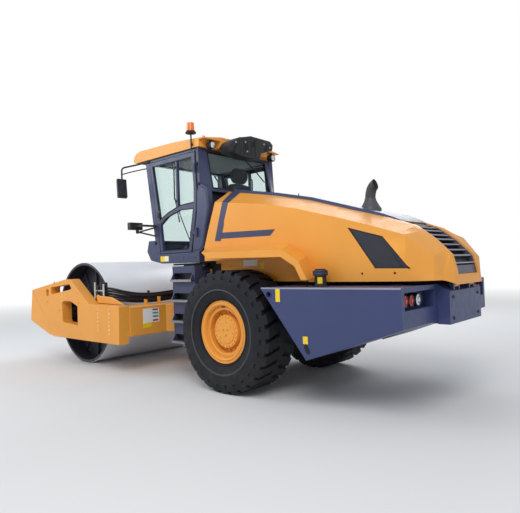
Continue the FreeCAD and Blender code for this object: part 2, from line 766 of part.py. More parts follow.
def side_box(name, side):
    """Tank and tool box beside the engine, with the tail lamps' bay in its rear face."""
    body = new_body("side_box_" + name)
    inner = d.chassis_half_width
    rear = box_end(side)
    outline = [
        (d.box_front_x, d.deck_z), (d.box_front_x - 8, d.deck_z - 14),
        (d.box_heel_x, d.box_heel_z), (rear, d.box_rear_bottom_z), (rear, d.deck_z),
    ]
    low, high = span(side, inner, d.box_outer_y)
    pad(body, "XZ", low, high, outline)
    low, high = span(side, inner + 118, d.box_outer_y - 55)
    pocket(body, "YZ", rear, rear + d.lamp_bay_depth,
           box_loop(low, high, d.deck_z - 215, d.deck_z - 48))
    low, high = span(side, d.box_outer_y - d.tie_hole_depth, d.box_outer_y)
    pocket(body, "XZ", low, high,
           ("circle", d.box_front_x - 120, d.deck_z - 75, d.tie_hole_radius))
    if side > 0:
        pad(body, "XY", d.deck_z, d.deck_z + 120, ("circle", -1330, 960, 62))
        pad(body, "XY", d.deck_z + 120, d.deck_z + 175, ("circle", -1330, 960, 82))
    return keep(body, body.Name)


for name, side in SIDES:
    side_box(name, side)


def tail_lamps():
    """Three round lamps at the back of each bay."""
    body = new_body("tail_lamps")
    for name, side in SIDES:
        bay = box_end(side) + d.lamp_bay_depth
        for y, radius in ((1112, 56), (985, 56), (833, 62)):
            pad(body, "YZ", bay - 85, bay, ("circle", side * y, d.deck_z - 131, radius))
    return keep(body, "tail_lamps")


tail_lamps()


def counterweight():
    """Cast block across the tail, with ears for the hood's hinges on its sloping top."""
    body = new_body("counterweight")
    half = [
        (d.chassis_rear_x, d.chassis_half_width), (d.box_rear_x, d.chassis_half_width),
        (d.box_rear_x, d.weight_half_width), (d.weight_rear_x, d.weight_half_width),
    ]
    outline = half + [(x, -y) for x, y in reversed(half)]
    pad(body, "XY", d.weight_bottom_z, d.deck_z, outline)
    pocket(body, "XZ", -d.weight_half_width - 5, d.weight_half_width + 5, [
        (d.box_rear_x, d.deck_z), (d.weight_rear_x, d.deck_z - 73), (d.weight_rear_x - 10, d.deck_z + 10),
        (d.box_rear_x, d.deck_z + 10)])
    for name, side in SIDES:
        for shift in (-1, 1):
            middle = side * d.hinge_y + shift * (d.hinge_length / 2 + 24)
            pad(body, "XZ", middle - 18, middle + 18, box_loop(
                d.hood_hinge_x - 18, d.hood_hinge_x + 30, d.deck_z - 90, d.hood_hinge_z + 20))
        pad(body, "XZ", side * d.hinge_y - d.hinge_length / 2 - 30,
            side * d.hinge_y + d.hinge_length / 2 + 30,
            ("circle", d.hood_hinge_x, d.hood_hinge_z, d.hinge_pin_radius))
    return keep(body, "counterweight")


counterweight()


def plain_block(label, low, high, x0, x1, half_width):
    body = new_body(label)
    pad(body, "XY", low, high, box_loop(x0, x1, -half_width, half_width))
    return keep(body, label)


plain_block("engine_block", d.chassis_top_z, d.chassis_top_z + 640, -1500, -250, as_size(330))
plain_block("radiator", d.chassis_top_z, d.chassis_top_z + 470, -2180, -2000, as_size(380))

# Hood: one moulded cover, hollow, hinged at the tail

MESH = [(-1587, 1928), (-1998, 1807), (-2276, 1472), (-1900, 1480)]

# Stations along X of the hood's cross-section: half-width and height of the flat spine, half-width
# and height of the corner below the chamfer, and how far the lower edge drops at the tail.
HOOD_STATIONS = [
    (800, 450, 2664, 800, 2490, 0),
    (460, 450, 2595, 800, 2428, 0),
    (-330, 450, 2450, 800, 2320, 0),
    (-860, 447, 2330, 800, 2215, 0),
    (-1390, 440, 2170, 800, 2068, 0),
    (-1870, 424, 2030, 800, 1927, 0),
    (-2160, 400, 1917, 800, 1832, 0),
    (-2240, 392, 1858, 800, 1804, 0),
    (-2350, 382, 1772, 730, 1687, 0),
    (-2460, 372, 1660, 660, 1568, 0),
    (-2497, 370, 1620, 575, 1352, 0),
    (-2520, 368, 1597, 510, 1340, -10),
    (-2560, 365, 1434, 396, 1309, -42),
    (-2572, 362, 1304, 364, 1294, -55),
]
TAIL_SLOPE = [(-2000, 1979), (-2160, 1917), (-2350, 1772), (-2520, 1597), (-2547, 1491)]
LOUVRE_FOOT = (-2563, 1393)
HOOD_FRONT = [(535, 2611), (582, 2390), (648, 2080), (700, 1826), (700, 1300)]
HOOD_SIDE_FRONT = [(460, 2428), (582, 2131), (640, 1980), (700, 1826), (700, 1300)]


def hood_form(label, inset, lift):
    """The hood's outer form as a loft of cross-sections, or with an inset the hollow inside it."""
    body = new_body(label)
    wall = d.hood_wall * inset
    tail = d.rear_reach + HOOD_STATIONS[-1][0]
    sections = []
    for x, spine_y, spine_z, side_y, side_z, drop in HOOD_STATIONS:
        steep = 1 if x > -2200 else 0.3
        reach = wall * (2 if x > 700 else 1 - steep) - tail
        low = d.hood_bottom_z + drop - lift
        crown = as_size(spine_z) - wall * steep
        corner = as_size(side_z) - wall * steep
        side = as_size(side_y) - wall
        ridge = as_size(spine_y) - wall * 0.4
        outline = [
            (-side, low), (side, low), (side, corner), (ridge, crown), (-ridge, crown), (-side, corner)]
        sections.append(draw(body, "YZ", as_size(x) + reach, [outline]))
    loft = body.newObject("PartDesign::AdditiveLoft", label + "_loft")
    loft.Profile = sections[0]
    loft.Sections = sections[1:]
    loft.Ruled = True
    body.Tip = loft
    return body


def cut_front(body, back):
    """Slant the hood's front face, and lean it back towards the sides above the wheel arches."""
    ridge = as_size(450)
    middle = [(x - back, z) for x, z in HOOD_FRONT] + [(1000, 1300), (1000, 2700), (516 - back, 2700)]
    edge = [(x - back, z) for x, z in HOOD_SIDE_FRONT] + [(1000, 1300), (1000, 2700), (348 - back, 2700)]
    pocket(body, "XZ", -ridge, ridge, middle)
    for name, side in SIDES:
        loft = body.newObject("PartDesign::SubtractiveLoft", body.Name + "_front")
        loft.Profile = draw(body, "XZ", -(side * ridge), [middle])
        loft.Sections = [draw(body, "XZ", -(side * (d.hood_half_width + 1)), [edge])]
        loft.Ruled = True
        body.Tip = loft


def hood_shell():
    outer = hood_form("hood_outer", 0, 0)
    inner = hood_form("hood_inner", 1, 20)
    cut_front(outer, 0)
    cut_front(inner, 30)
    for name, side in SIDES:
        for item, wall in ((outer, zero), (inner, d.hood_wall)):
            low, high = span(side, d.arch_inner_y - wall, d.hood_half_width + 50)
            pocket(item, "XZ", low, high, [
                (900, 1200), (900, d.arch_top_z + wall), (d.arch_rear_x + 150, d.arch_top_z + wall),
                (d.arch_rear_x - wall, d.arch_top_z - 150), (d.arch_rear_x - 110 - wall, 1200),
            ])
    pocket(outer, "XZ", -d.arch_inner_y - 5, d.arch_inner_y + 5, box_loop(600, 900, 1200, 1600))
    pocket(outer, "XZ", -d.hood_half_width - 5, d.hood_half_width + 5, MESH)
    tail, foot = TAIL_SLOPE, LOUVRE_FOOT
    pocket(outer, "XZ", -d.grille_half_width, d.grille_half_width, [
        (tail[0][0] + 18, tail[0][1] + 20), (tail[0][0] - 300, tail[0][1] + 60), (foot[0] - 200, foot[1]),
        (foot[0] + 100, foot[1]), (tail[2][0] + 110, tail[2][1] - 80),
        (tail[0][0] + 48, tail[0][1] - 90)])
    return outer, boolean("Cut", "hood_hollow", outer, inner)


def hood_flares():
    bodies = []
    for name, side in SIDES:
        body = new_body("hood_flare_" + name)
        near = side * (d.hood_half_width - d.hood_wall)
        far = side * d.flare_y
        top = [(661, 1840), (-777, 1804), (-1022, 1653), (-1171, 1399)]
        lip = [(417, 1747), (-922, 1722), (-1152, 1578), (-1258, 1380)]
        under = [(-1111, 1380), (-1000, 1510), (-803, 1650), (430, 1663)]
        under_lip = [(-1176, 1380), (-1095, 1529), (-902, 1641), (300, 1663)]
        loft = body.newObject("PartDesign::AdditiveLoft", "flare_loft_" + name)
        loft.Profile = draw(body, "XZ", -near, [top + under])
        loft.Sections = [draw(body, "XZ", -far, [lip + under_lip])]
        loft.Ruled = True
        body.Tip = loft
        bodies.append(body)
    return bodies


def hood_knuckles():
    body = new_body("hood_knuckles")
    x, z = d.hood_hinge_x, d.hood_hinge_z
    for name, side in SIDES:
        low = side * d.hinge_y - d.hinge_length / 2
        pad(body, "XZ", low, low + d.hinge_length, ("circle", x, z, d.hinge_radius))
        pad(body, "XZ", low, low + d.hinge_length, [
            (x - 12, z + 10), (x + 16, z + 10), (x - 22, z + 75), (x - 62, z + 75), (x - 62, z + 40)])
    bore = ("circle", x, z, d.hinge_pin_radius + d.running_gap)
    pocket(body, "XZ", -d.weight_half_width, d.weight_half_width, bore)
    return body


hood_outer, hood_hollow = hood_shell()
keep(boolean("MultiFuse", "hood_shell", hood_hollow, hood_knuckles(), *hood_flares()), "hood_shell")


def hood_grille():
    """Tail louvres: tilted slats between two side strips, and a plain plate below them."""
    body = new_body("hood_grille")
    slope = [(x + 14, z - 8) for x, z in TAIL_SLOPE]
    foot = (LOUVRE_FOOT[0] + 14, LOUVRE_FOOT[1] + 2)
    strip_back = [(foot[0] + 40, foot[1]), (slope[-1][0] + 62, slope[-1][1]),
                  (slope[2][0] + 75, slope[2][1] - 40), (slope[0][0] + 45, slope[0][1] - 70)]
    edge = d.grille_half_width - d.fit_gap
    for name, side in SIDES:
        low, high = span(side, edge - 16, edge)
        pad(body, "XZ", low, high, slope + [foot] + strip_back)
    pad(body, "XZ", -edge, edge, [
        (slope[-1][0] + 6, slope[-1][1]), (foot[0] + 6, foot[1]), (foot[0] + 30, foot[1]),
        (slope[-1][0] + 30, slope[-1][1])])
    lengths = [math.dist(here, there) for here, there in zip(slope, slope[1:])]
    count = int(d.slat_count.value)
    depth = d.slat_depth.value
    wall = d.slat_wall.value
    for index in range(count):
        along = sum(lengths) * (index + 0.6) / count
        stretch = 0
        while along > lengths[stretch]:
            along -= lengths[stretch]
            stretch += 1
        share = along / lengths[stretch]
        here, there = slope[stretch], slope[stretch + 1]
        x = here[0] + (there[0] - here[0]) * share + 5
        z = here[1] + (there[1] - here[1]) * share - 2
        pad(body, "XZ", 6 - edge, edge - 6, [
            (x, z), (x + depth, z - 18), (x + depth, z - 18 - wall), (x, z - wall)])
    return keep(body, "hood_grille")


hood_grille()


def hood_meshes():
    body = new_body("hood_meshes")
    for name, side in SIDES:
        low, high = span(side, d.hood_half_width - d.hood_wall, d.hood_half_width - 12)
        pad(body, "XZ", low, high, MESH)
        pocket(body, "XZ", low, high, [(-2230, 1472), (-2290, 1540), (-2320, 1440)])
    return keep(body, "hood_meshes")


def exhaust_stub():
    body = new_body("exhaust_foot")
    pad(body, "XY", 2080, 2210, ("circle", d.exhaust_x, 0, d.exhaust_radius + 55))
    pad(body, "XY", 2210, 2270, ("circle", d.exhaust_x, 0, d.exhaust_radius + 30))
    seated = boolean("Cut", "exhaust_seat", body, hood_outer)
    x = d.exhaust_x
    pipe = tube("exhaust_pipe", [(x, 0, 2240), (x, 0, 2430), (x - 110, 0, 2535)],
                d.exhaust_radius, 150)
    return keep(boolean("MultiFuse", "exhaust_stub", seated, pipe), "exhaust_stub")


hood_meshes()
exhaust_stub()

# Cab: base, frame of pillars, panes, two doors and the roof


def cab_base():
    body = new_body("cab_base")
    low, high = d.cab_bottom_z, d.cab_floor_z
    front = d.cab_front_foot_x
    outline = [
        (d.cab_rear_x, low), (front - 132, low + 10), (front + 138, low + 63),
        (front + 229, low + 201), (front + 178, low + 367), (front + 13, low + 365),
        (front, d.cab_front_foot_z), (front - 40, high), (d.cab_rear_x, high),
    ]
    pad(body, "XZ", -d.cab_half_width, d.cab_half_width, outline)
    return keep(body, "cab_base")


cab_base()


def front_x(z):
    """The front pillars' leading edge at a height."""
    rise = (z - d.cab_front_foot_z.value) / (d.cab_top_z.value - d.cab_front_foot_z.value)
    return d.cab_front_foot_x + (d.cab_front_top_x - d.cab_front_foot_x) * rise


def rear_face(z):
    """The rear window's posts lean forward: their trailing edge at a height."""
    return 790 - (3240 - z) * 0.1985


# Panel that closes the gap between the hood's front and the door, from its top rear corner down.
COVER = [(620, 2660), (593, 2577), (577, 2366), (648, 2131), (720, 1826), (796, 1775)]
HINGES = ((2050, 935), (2950, 852))


def cab_frame():
    body = new_body("cab_frame")
    top = d.cab_top_z
    ring_low = d.door_top_z + d.door_gap
    wide = d.pillar_width
    for name, side in SIDES:
        low, high = span(side, d.cab_half_width - d.cab_wall - 35, d.cab_half_width)
        pad(body, "XZ", low, high, [
            (d.cab_front_foot_x, d.cab_front_foot_z), (d.cab_front_top_x, top),
            (d.cab_front_top_x - wide, top), (d.cab_front_foot_x - wide, d.cab_front_foot_z),
            (d.cab_front_foot_x - wide - 10, d.cab_floor_z), (d.cab_front_foot_x - 40, d.cab_floor_z),
        ])
        pad(body, "XZ", low, high, box_loop(d.cab_rear_x, d.cab_front_top_x - 20, ring_low, top))
        pad(body, "XZ", low, high, COVER + [
            (960, d.cab_floor_z), (950, 1850), (817, 2470), (806, 2720), (835, ring_low + 10),
            (835, top), (770, top), (748, 2718)])
        for z, foot_x in HINGES:
            pin_x, pin_y = d.door_hinge_x, side * door_hinge_y
            pad(body, "XY", z - 62, z + 62, ("circle", pin_x, pin_y, d.door_pin_radius))
            low_y, high_y = span(side, d.cab_half_width, door_hinge_y + 14)
            for shift in (-62, 50):
                pad(body, "XY", as_size(z + shift), as_size(z + shift + 12),
                    box_loop(pin_x - 14, pin_x + 14, low_y, high_y))
        post = [
            (rear_face(d.sill_z.value - 40), d.sill_z - 40), (rear_face(top.value), top),
            (rear_face(top.value) + 45, top), (rear_face(d.sill_z.value - 40) + 45, d.sill_z - 40)]
        corner = [(745, d.sill_z - 40), (772, top), (835, top), (806, d.sill_z - 40)]
        low_y, high_y = span(side, rear_half_width - 45, rear_half_width)
        pad(body, "XZ", low_y, high_y, post)
        loft = body.newObject("PartDesign::AdditiveLoft", "rear_corner_" + name)
        loft.Profile = draw(body, "XZ", -(side * rear_half_width), [post])
        loft.Sections = [draw(body, "XZ", -(side * (d.cab_half_width - 6)), [corner])]
        loft.Ruled = True
        body.Tip = loft
    inner = d.cab_half_width - d.cab_wall - 35
    pad(body, "XY", d.cab_floor_z, d.sill_z,
        box_loop(d.cab_rear_x, d.cab_rear_x + 30, -inner, inner))
    pad(body, "XY", d.sill_z - 40, d.sill_z,
        box_loop(rear_face(d.sill_z.value), d.cab_rear_x + 30, -inner, inner))
    glass_y = rear_half_width - 45
    head = rear_face(top.value)
    pad(body, "XY", top - 40, top, box_loop(head, head + 60, -glass_y, glass_y))
    pad(body, "XY", top - 70, top,
        box_loop(d.cab_front_top_x - wide, d.cab_front_top_x - 15, -inner, inner))
    return keep(body, "cab_frame")


cab_frame()


def cab_roof():
    """Moulded roof: a flat crown that falls towards the sides, hollowed at its rear corners."""
    body = new_body("cab_roof")
    low, front, rear = d.roof_bottom_z, d.roof_front_x, d.roof_rear_x
    top = d.roof_top_z
    crown = [
        (rear, low), (front - 40, low), (front, low + 25), (front - 5, top - 60), (front - 70, top + 5),
        (front - 180, top + 22), (1300, top + 14), (rear + 40, top + 4), (rear, top - 16),
    ]
    edge = [
        (rear, low), (front - 40, low), (front, low + 25), (front - 15, top - 68), (front - 75, top - 14),
        (front - 180, top + 8), (1300, top - 10), (rear + 40, top - 52), (rear, top - 68),
    ]
    crown_y = d.cab_half_width - 350
    edge_y = d.cab_half_width + 15
    pad(body, "XZ", -crown_y, crown_y, crown)
    for name, side in SIDES:
        loft = body.newObject("PartDesign::AdditiveLoft", "roof_slope_" + name)
        loft.Profile = draw(body, "XZ", -(side * crown_y), [crown])
        loft.Sections = [draw(body, "XZ", -(side * edge_y), [edge])]
        loft.Ruled = True
        body.Tip = loft
    for name, side in SIDES:
        low_y, high_y = span(side, d.cab_half_width - 300, d.cab_half_width + 16)
        pocket(body, "XZ", low_y, high_y, box_loop(rear - 10, rear + 110, low - 1, low + 95))
    return keep(body, "cab_roof")


cab_roof()


def pane_slope(inset):
    """Windscreen outline: a thin slanted slab just inside the front pillars' leading edge."""
    low, high = d.cab_front_foot_z, d.cab_top_z - 70
    back = d.glass_wall
    near = front_x(low.value) - inset
    far = front_x(high.value) - inset
    return [(near, low), (far, high), (far - back, high), (near - back, low)]


def cab_glass():
    body = new_body("windscreen")
    inner = d.cab_half_width - d.cab_wall - 35
    pad(body, "XZ", -inner, inner, pane_slope(30))
    keep(body, "windscreen")
    rear = new_body("rear_window")
    glass_y = rear_half_width - 45
    low, high = d.sill_z, d.cab_top_z - 40
    foot, head = rear_face(low.value) + 12, rear_face(high.value) + 12
    wall = d.glass_wall
    pad(rear, "XZ", -glass_y, glass_y, [(foot, low), (head, high), (head + wall, high), (foot + wall, low)])
    keep(rear, "rear_window")


cab_glass()


def door(name, side):
    """Glazed door: an outer frame with an arched rail, and its pane on the inside."""
    gap = d.door_gap
    low, high = d.door_bottom_z, d.door_top_z
    frame = d.door_frame
    front_low = front_x(low.value + 40) - d.pillar_width - gap
    front_high = front_x(high.value) - d.pillar_width - gap
    outline = [
        (front_low, low), (front_high, high), (850, high), (820, 2720), (831, 2470), (965, 1850),
        (988, low),
    ]
    rail_low, rail_high = as_size(2215), as_size(2440)
    slope = (d.cab_front_top_x - d.cab_front_foot_x) / (d.cab_top_z - d.cab_front_foot_z)
    front = front_x(rail_low.value) - d.pillar_width - gap - frame
    upper = [
        (front, rail_low + 70), (front_high - frame, high - frame), (915, high - frame),
        (885, 2720), (893, rail_high + 40), (1195, rail_high + 25), (1478, rail_high - 55),
    ]
    lower = [
        (front_low - frame + 5, low + d.door_sill), (front - 12, rail_low),
        (1478, rail_low + 115), (1195, rail_low + 185), (903, rail_high - 45), (1024, 1860),
        (1046, low + d.door_sill),
    ]
    body = new_body("door_" + name)
    low_y, high_y = span(side, d.cab_half_width - d.cab_wall, d.cab_half_width)
    pad(body, "XZ", low_y, high_y, outline, upper, lower)
    bar = box_loop(1240, 1275, rail_high - 20, high - frame + 5)
    pad(body, "XZ", low_y, high_y, bar)
    strap_y, outer_y = d.cab_half_width + 6, d.cab_half_width + 20
    for z, foot_x in HINGES:
        low_h, high_h = span(side, strap_y, outer_y)
        pad(body, "XZ", low_h, high_h, box_loop(d.door_hinge_x, foot_x + 35, z - 22, z + 22))
        low_h, high_h = span(side, d.cab_half_width, strap_y)
        pad(body, "XZ", low_h, high_h, box_loop(foot_x, foot_x + 35, z - 22, z + 22))
        pad(body, "XY", z - 45, z + 45, ("circle", d.door_hinge_x, side * door_hinge_y, 18))
        pocket(body, "XY", z - 46, z + 46, (
            "circle", d.door_hinge_x, side * door_hinge_y, d.door_pin_radius + d.running_gap))
    keep(body, "door_" + name)
    pane = new_body("door_glass_" + name)
    low_y, high_y = span(side, d.cab_half_width - d.cab_wall - d.glass_wall, d.cab_half_width - d.cab_wall)
    inset = 30
    pad(pane, "XZ", low_y, high_y, [
        (front_low - inset, low + 18), (front_high - inset, high - inset), (880, high - inset),
        (850, 2720), (861, 2470), (995, 1850), (1018, low + 18),
    ])
    keep(pane, "door_glass_" + name)


for name, side in SIDES:
    door(name, side)


def cab_inside():
    """Seat on a plinth, and the steering wheel on its column, both right of the cab's middle."""
    body = new_body("seat")
    floor = d.cab_floor_z
    pad(body, "XZ", d.seat_y - 240, d.seat_y + 240, box_loop(1000, 1480, floor + 420, floor + 530))
    pad(body, "XZ", d.seat_y - 230, d.seat_y + 230, [
        (1000, floor + 530), (1110, floor + 530), (1030, floor + 1080), (930, floor + 1080)])
    pad(body, "XZ", d.seat_y - 130, d.seat_y + 130, [
        (955, floor + 1085), (1025, floor + 1085), (1000, floor + 1290), (940, floor + 1290)])
    pad(body, "XZ", d.seat_y - 60, d.seat_y + 60, [
        (960, floor + 1070), (1010, floor + 1070), (1005, floor + 1100), (965, floor + 1100)])
    keep(body, "seat")
    lean_angle = 26
    column_drop = 170
    foot_x = 1600 + column_drop * math.sin(math.radians(lean_angle))
    foot_z = 900 - column_drop * math.cos(math.radians(lean_angle)) - d.fit_gap.value
    top_slope = math.tan(math.radians(lean_angle))
    console = new_body("cab_console")
    pad(console, "XY", floor, floor + 420, box_loop(1040, 1440, d.seat_y - 200, d.seat_y + 200))
    pad(console, "XZ", d.seat_y - 110, d.seat_y + 110, [
        (1560, floor), (1680, floor), (1712, floor + foot_z + (1712 - foot_x) * top_slope),
        (1620, floor + foot_z + (1620 - foot_x) * top_slope)])
    keep(console, "cab_console")
    centre = Vector(1600, d.seat_y.value, floor.value + 900)
    lean = Rotation(Vector(0, 1, 0), -lean_angle)
    ring = doc.addObject("Part::Torus", "wheel_ring")
    ring.Radius1 = 205
    ring.Radius2 = 16
    ring.Placement = FreeCAD.Placement(centre, lean)
    spoke = doc.addObject("Part::Box", "wheel_spoke")
    spoke.Length = 36
    spoke.Width = 408
    spoke.Height = 14
    spoke.Placement = FreeCAD.Placement(centre + lean.multVec(Vector(-18, -204, -7)), lean)
    column = doc.addObject("Part::Cylinder", "wheel_column")
    column.Radius = 26
    column.Height = column_drop
    column.Placement = FreeCAD.Placement(centre + lean.multVec(Vector(0, 0, -column_drop)), lean)
    keep(boolean("MultiFuse", "wheel_and_column", column, ring, spoke), "steering_wheel")


cab_inside()


LADDER_TREADS = (520, 810, 1104, 1390)
TOE_HOLE = 95


def ladders():
    """Folded steel boxes below the doors: a toe hole over each tread, with cheeks beside it."""
    body = new_body("ladders")
    rear, front, wall = d.ladder_rear_x, d.ladder_front_x, d.ladder_wall
    foot, top = LADDER_TREADS[0] - 26, d.cab_bottom_z - 40
    holes = [box_loop(rear + 50, front - 25, z + 2, z + TOE_HOLE) for z in LADDER_TREADS]
    for name, side in SIDES:
        low, high = span(side, d.ladder_y - wall, d.ladder_y)
        pad(body, "XZ", low, high, box_loop(rear, front, foot, top), *holes)
        low, high = span(side, d.ladder_y - 210, d.ladder_y - wall)
        for x in (rear, front - wall):
            pad(body, "XZ", low, high, box_loop(x, x + wall, foot, top))
        low, high = span(side, d.ladder_y - 150, d.ladder_y + d.tread_reach)
        for z in LADDER_TREADS:
            pad(body, "XZ", low, high, box_loop(rear + wall, front - wall, z - d.step_wall, z))
            for x in (rear + 50 - wall, front - 25):
                pad(body, "YZ", x, x + wall, [
                    (side * (d.ladder_y - 1), z - 1), (side * (d.ladder_y + d.tread_reach - 8), z - 1),
                    (side * (d.ladder_y - 1), z + TOE_HOLE)])
        low, high = span(side, 540, d.ladder_y - 210)
        pad(body, "XZ", low, high, box_loop(rear, front, 1480, 1510))
    return keep(body, "ladders")


ladders()


def mirrors():
    items = []
    for name, side in SIDES:
        glass = new_body("mirror_face_" + name)
        low, high = span(side, d.mirror_y - 80, d.mirror_y + 80)
        pad(glass, "XZ", low, high, [
            (d.mirror_x - 22, 2700), (d.mirror_x + 20, 2680), (d.mirror_x + 34, 2960),
            (d.mirror_x, 2980)])
        items.append(glass)
        beside = d.cab_half_width + d.tube_radius + d.fit_gap
        arm = tube("mirror_arm_" + name, [
            (d.cab_front_top_x - 110, side * beside, d.cab_top_z - 30),
            (d.mirror_x - 120, side * (beside + 12), d.cab_top_z - 30),
            (d.mirror_x, side * d.mirror_y, d.cab_top_z - 90),
            (d.mirror_x, side * d.mirror_y, 2950)], d.tube_radius, 60)
        items.append(arm)
    whole = boolean("MultiFuse", "mirrors", *items)
    return keep(whole, "mirrors")


mirrors()


def beacon():
    body = new_body("beacon")
    y = d.cab_half_width + 35
    top = d.cab_top_z + d.beacon_rise
    base = top - 142
    pad(body, "XY", d.cab_top_z - 40, base + 4, ("circle", d.beacon_x, y, 11))
    pad(body, "XY", base, base + 30, ("circle", d.beacon_x, y, 68))
    pad(body, "XY", base + 30, top, ("circle", d.beacon_x, y, 52))
    pad(body, "XY", d.cab_top_z + 30, d.cab_top_z + 60,
        box_loop(d.beacon_x - 20, d.beacon_x + 20, d.cab_half_width + 15 + d.fit_gap, y))
    return keep(body, "beacon")


beacon()


def air_conditioner():
    """Moulded casing hung on the roof's rear edge, a little to the right of the middle."""
    body = new_body("air_conditioner")
    low, high = d.cab_top_z - 130, d.roof_top_z + 42
    pad(body, "YZ", d.roof_rear_x - 200, d.roof_rear_x, [
        (540, low + 120), (480, low + 190), (317, high - 62), (64, high), (-360, high - 8),
        (-428, high - 62), (-410, high - 150), (-165, low + 128), (-110, low + 5), (220, low),
        (490, low + 40)])
    rear = d.roof_rear_x.value - 200
    bevel("Fillet", body, as_size(22), lambda start, end: (
        abs(start.x - rear) < 1 and abs(end.x - rear) < 1))
    return keep(body, "air_conditioner")


air_conditioner()


def work_lamps():
    body = new_body("work_lamps")
    for name, side in SIDES:
        pad(body, "YZ", d.roof_rear_x + 5, d.roof_rear_x + 85,
            ("circle", side * 650, d.roof_bottom_z + 18, 52))
        pad(body, "XY", d.roof_bottom_z + 60, d.roof_bottom_z + 95 - d.fit_gap,
            box_loop(d.roof_rear_x + 25, d.roof_rear_x + 65, side * 650 - 15, side * 650 + 15))
        y = side * (d.cab_half_width + 220)
        low, high = span(side, d.cab_half_width + 110, d.cab_half_width + 330)
        pad(body, "XZ", low, high, box_loop(1965, 2045, 2160, 2270))
        low, high = span(side, d.cab_half_width + d.fit_gap, d.cab_half_width + 250)
        pad(body, "XZ", low, high, box_loop(1770, 1800, 2195, 2225))
        low, high = span(side, d.cab_half_width + 220, d.cab_half_width + 250)
        pad(body, "XZ", low, high, box_loop(1770, 1970, 2195, 2225))
    return keep(body, "work_lamps")


work_lamps()


def hose_bundle():
    """Hydraulic hoses that sag from the drum's end towards the middle of the crossbeam."""
    items = []
    back = beam_rear_x.value
    for index in range(5):
        aside = -24 * (index % 2)
        points = [
            (back + 869.6, 1150, 1096 + 46 * index), (back + 830, 1150, 1096 + 46 * index),
            (back + 773, 1145, 1100 + 46 * index),
            (back + 663 + aside, 1080, 1100 + 42 * index), (back + 583 + aside, 900, 1062 + 36 * index),
            (back + 500 + aside, 680, 1036 + 32 * index), (back + 420 + aside, 430, 1033 + 31 * index),
            (back + 380 + aside, 150, 1056 + 31 * index), (back + 378 + aside, 90, 1060 + 31 * index),
            (back + 378 + aside, 55, 1060 + 31 * index),
        ]
        items.append(tube("hose_%d" % (index + 1), points, d.hose_radius, None))
    whole = boolean("MultiFuse", "hose_bundle", *items)
    return keep(whole, "hose_bundle")


hose_bundle()


def hose_brackets():
    """Post that holds the hoses beside the drum, and the clamp where they enter the frame."""
    body = new_body("hose_brackets")
    top = d.beam_top_z
    back = beam_rear_x
    pad(body, "XY", top, top + 215, box_loop(back + 300, back + 420, 20, 53.5))
    pad(body, "XY", top + 20, top + 320, box_loop(back + 870, back + 894, 1100, d.plate_inner_y))
    return keep(body, "hose_brackets")


hose_brackets()


# Check every object, then write one file for each sub-part

doc.recompute()
failed = [item.Name for item in doc.Objects if "Invalid" in item.State or "Error" in item.State]
if failed:
    raise ValueError("these objects failed: " + ", ".join(failed))
for item in nodes:
    if item.Shape.isNull() or not item.Shape.isValid():
        raise ValueError("%s has no valid shape" % item.Label)
    if not item.Shape.Solids:
        raise ValueError("%s has no solid" % item.Label)
for item in nodes:
    box = item.Shape.BoundBox
    print("%-22s %d solids  %8.4f m3  x %6.0f %6.0f  y %6.0f %6.0f  z %6.0f %6.0f" % (
        item.Label, len(item.Shape.Solids), item.Shape.Volume / 1e9,
        box.XMin, box.XMax, box.YMin, box.YMax, box.ZMin, box.ZMax))
    item.Shape.exportStep("parts/%s.step" % item.Label)
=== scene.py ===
import math

import bmesh
import bpy
from mathutils import Matrix, Vector


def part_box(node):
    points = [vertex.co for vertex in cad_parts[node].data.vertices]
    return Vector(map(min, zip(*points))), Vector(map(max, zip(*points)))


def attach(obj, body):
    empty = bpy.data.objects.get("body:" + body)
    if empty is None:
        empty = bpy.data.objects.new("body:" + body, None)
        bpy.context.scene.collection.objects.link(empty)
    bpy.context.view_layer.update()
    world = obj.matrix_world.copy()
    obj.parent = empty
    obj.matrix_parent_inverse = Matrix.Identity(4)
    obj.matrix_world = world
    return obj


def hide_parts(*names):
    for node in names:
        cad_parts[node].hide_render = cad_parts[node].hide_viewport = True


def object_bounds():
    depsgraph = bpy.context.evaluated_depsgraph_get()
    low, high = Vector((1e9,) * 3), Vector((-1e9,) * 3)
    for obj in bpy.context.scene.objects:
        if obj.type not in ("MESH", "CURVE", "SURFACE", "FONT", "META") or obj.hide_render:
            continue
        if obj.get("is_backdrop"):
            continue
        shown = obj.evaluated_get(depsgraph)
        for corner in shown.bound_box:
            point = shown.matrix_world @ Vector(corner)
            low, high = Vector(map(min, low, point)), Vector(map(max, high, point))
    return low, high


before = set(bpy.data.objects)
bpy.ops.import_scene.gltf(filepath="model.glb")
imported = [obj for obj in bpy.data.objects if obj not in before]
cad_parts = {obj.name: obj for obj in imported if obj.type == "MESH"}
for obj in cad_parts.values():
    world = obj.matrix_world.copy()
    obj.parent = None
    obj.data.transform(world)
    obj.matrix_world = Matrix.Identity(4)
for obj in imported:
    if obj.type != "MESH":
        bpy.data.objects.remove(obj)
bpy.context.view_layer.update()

# Camera at the photo's place, behind the machine's left rear corner and at a person's eye height.
# Places here and below are in metres. Those along X are given ahead of the rear axle.
axle_low, axle_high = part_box("rear_axle")
axle_x = (axle_low[0] + axle_high[0]) / 2
camera_data = bpy.data.cameras.new("camera")
camera = bpy.data.objects.new("camera", camera_data)
bpy.context.scene.collection.objects.link(camera)
camera_yaw, camera_pitch, camera_roll = 0.8421, 0.0190, -0.0353
ahead = Vector((math.cos(camera_yaw) * math.cos(camera_pitch),
                -math.sin(camera_yaw) * math.cos(camera_pitch), math.sin(camera_pitch)))
level = ahead.cross(Vector((0, 0, 1))).normalized()
upright = level.cross(ahead)
camera_right = level * math.cos(camera_roll) + upright * math.sin(camera_roll)
camera_up = upright * math.cos(camera_roll) - level * math.sin(camera_roll)
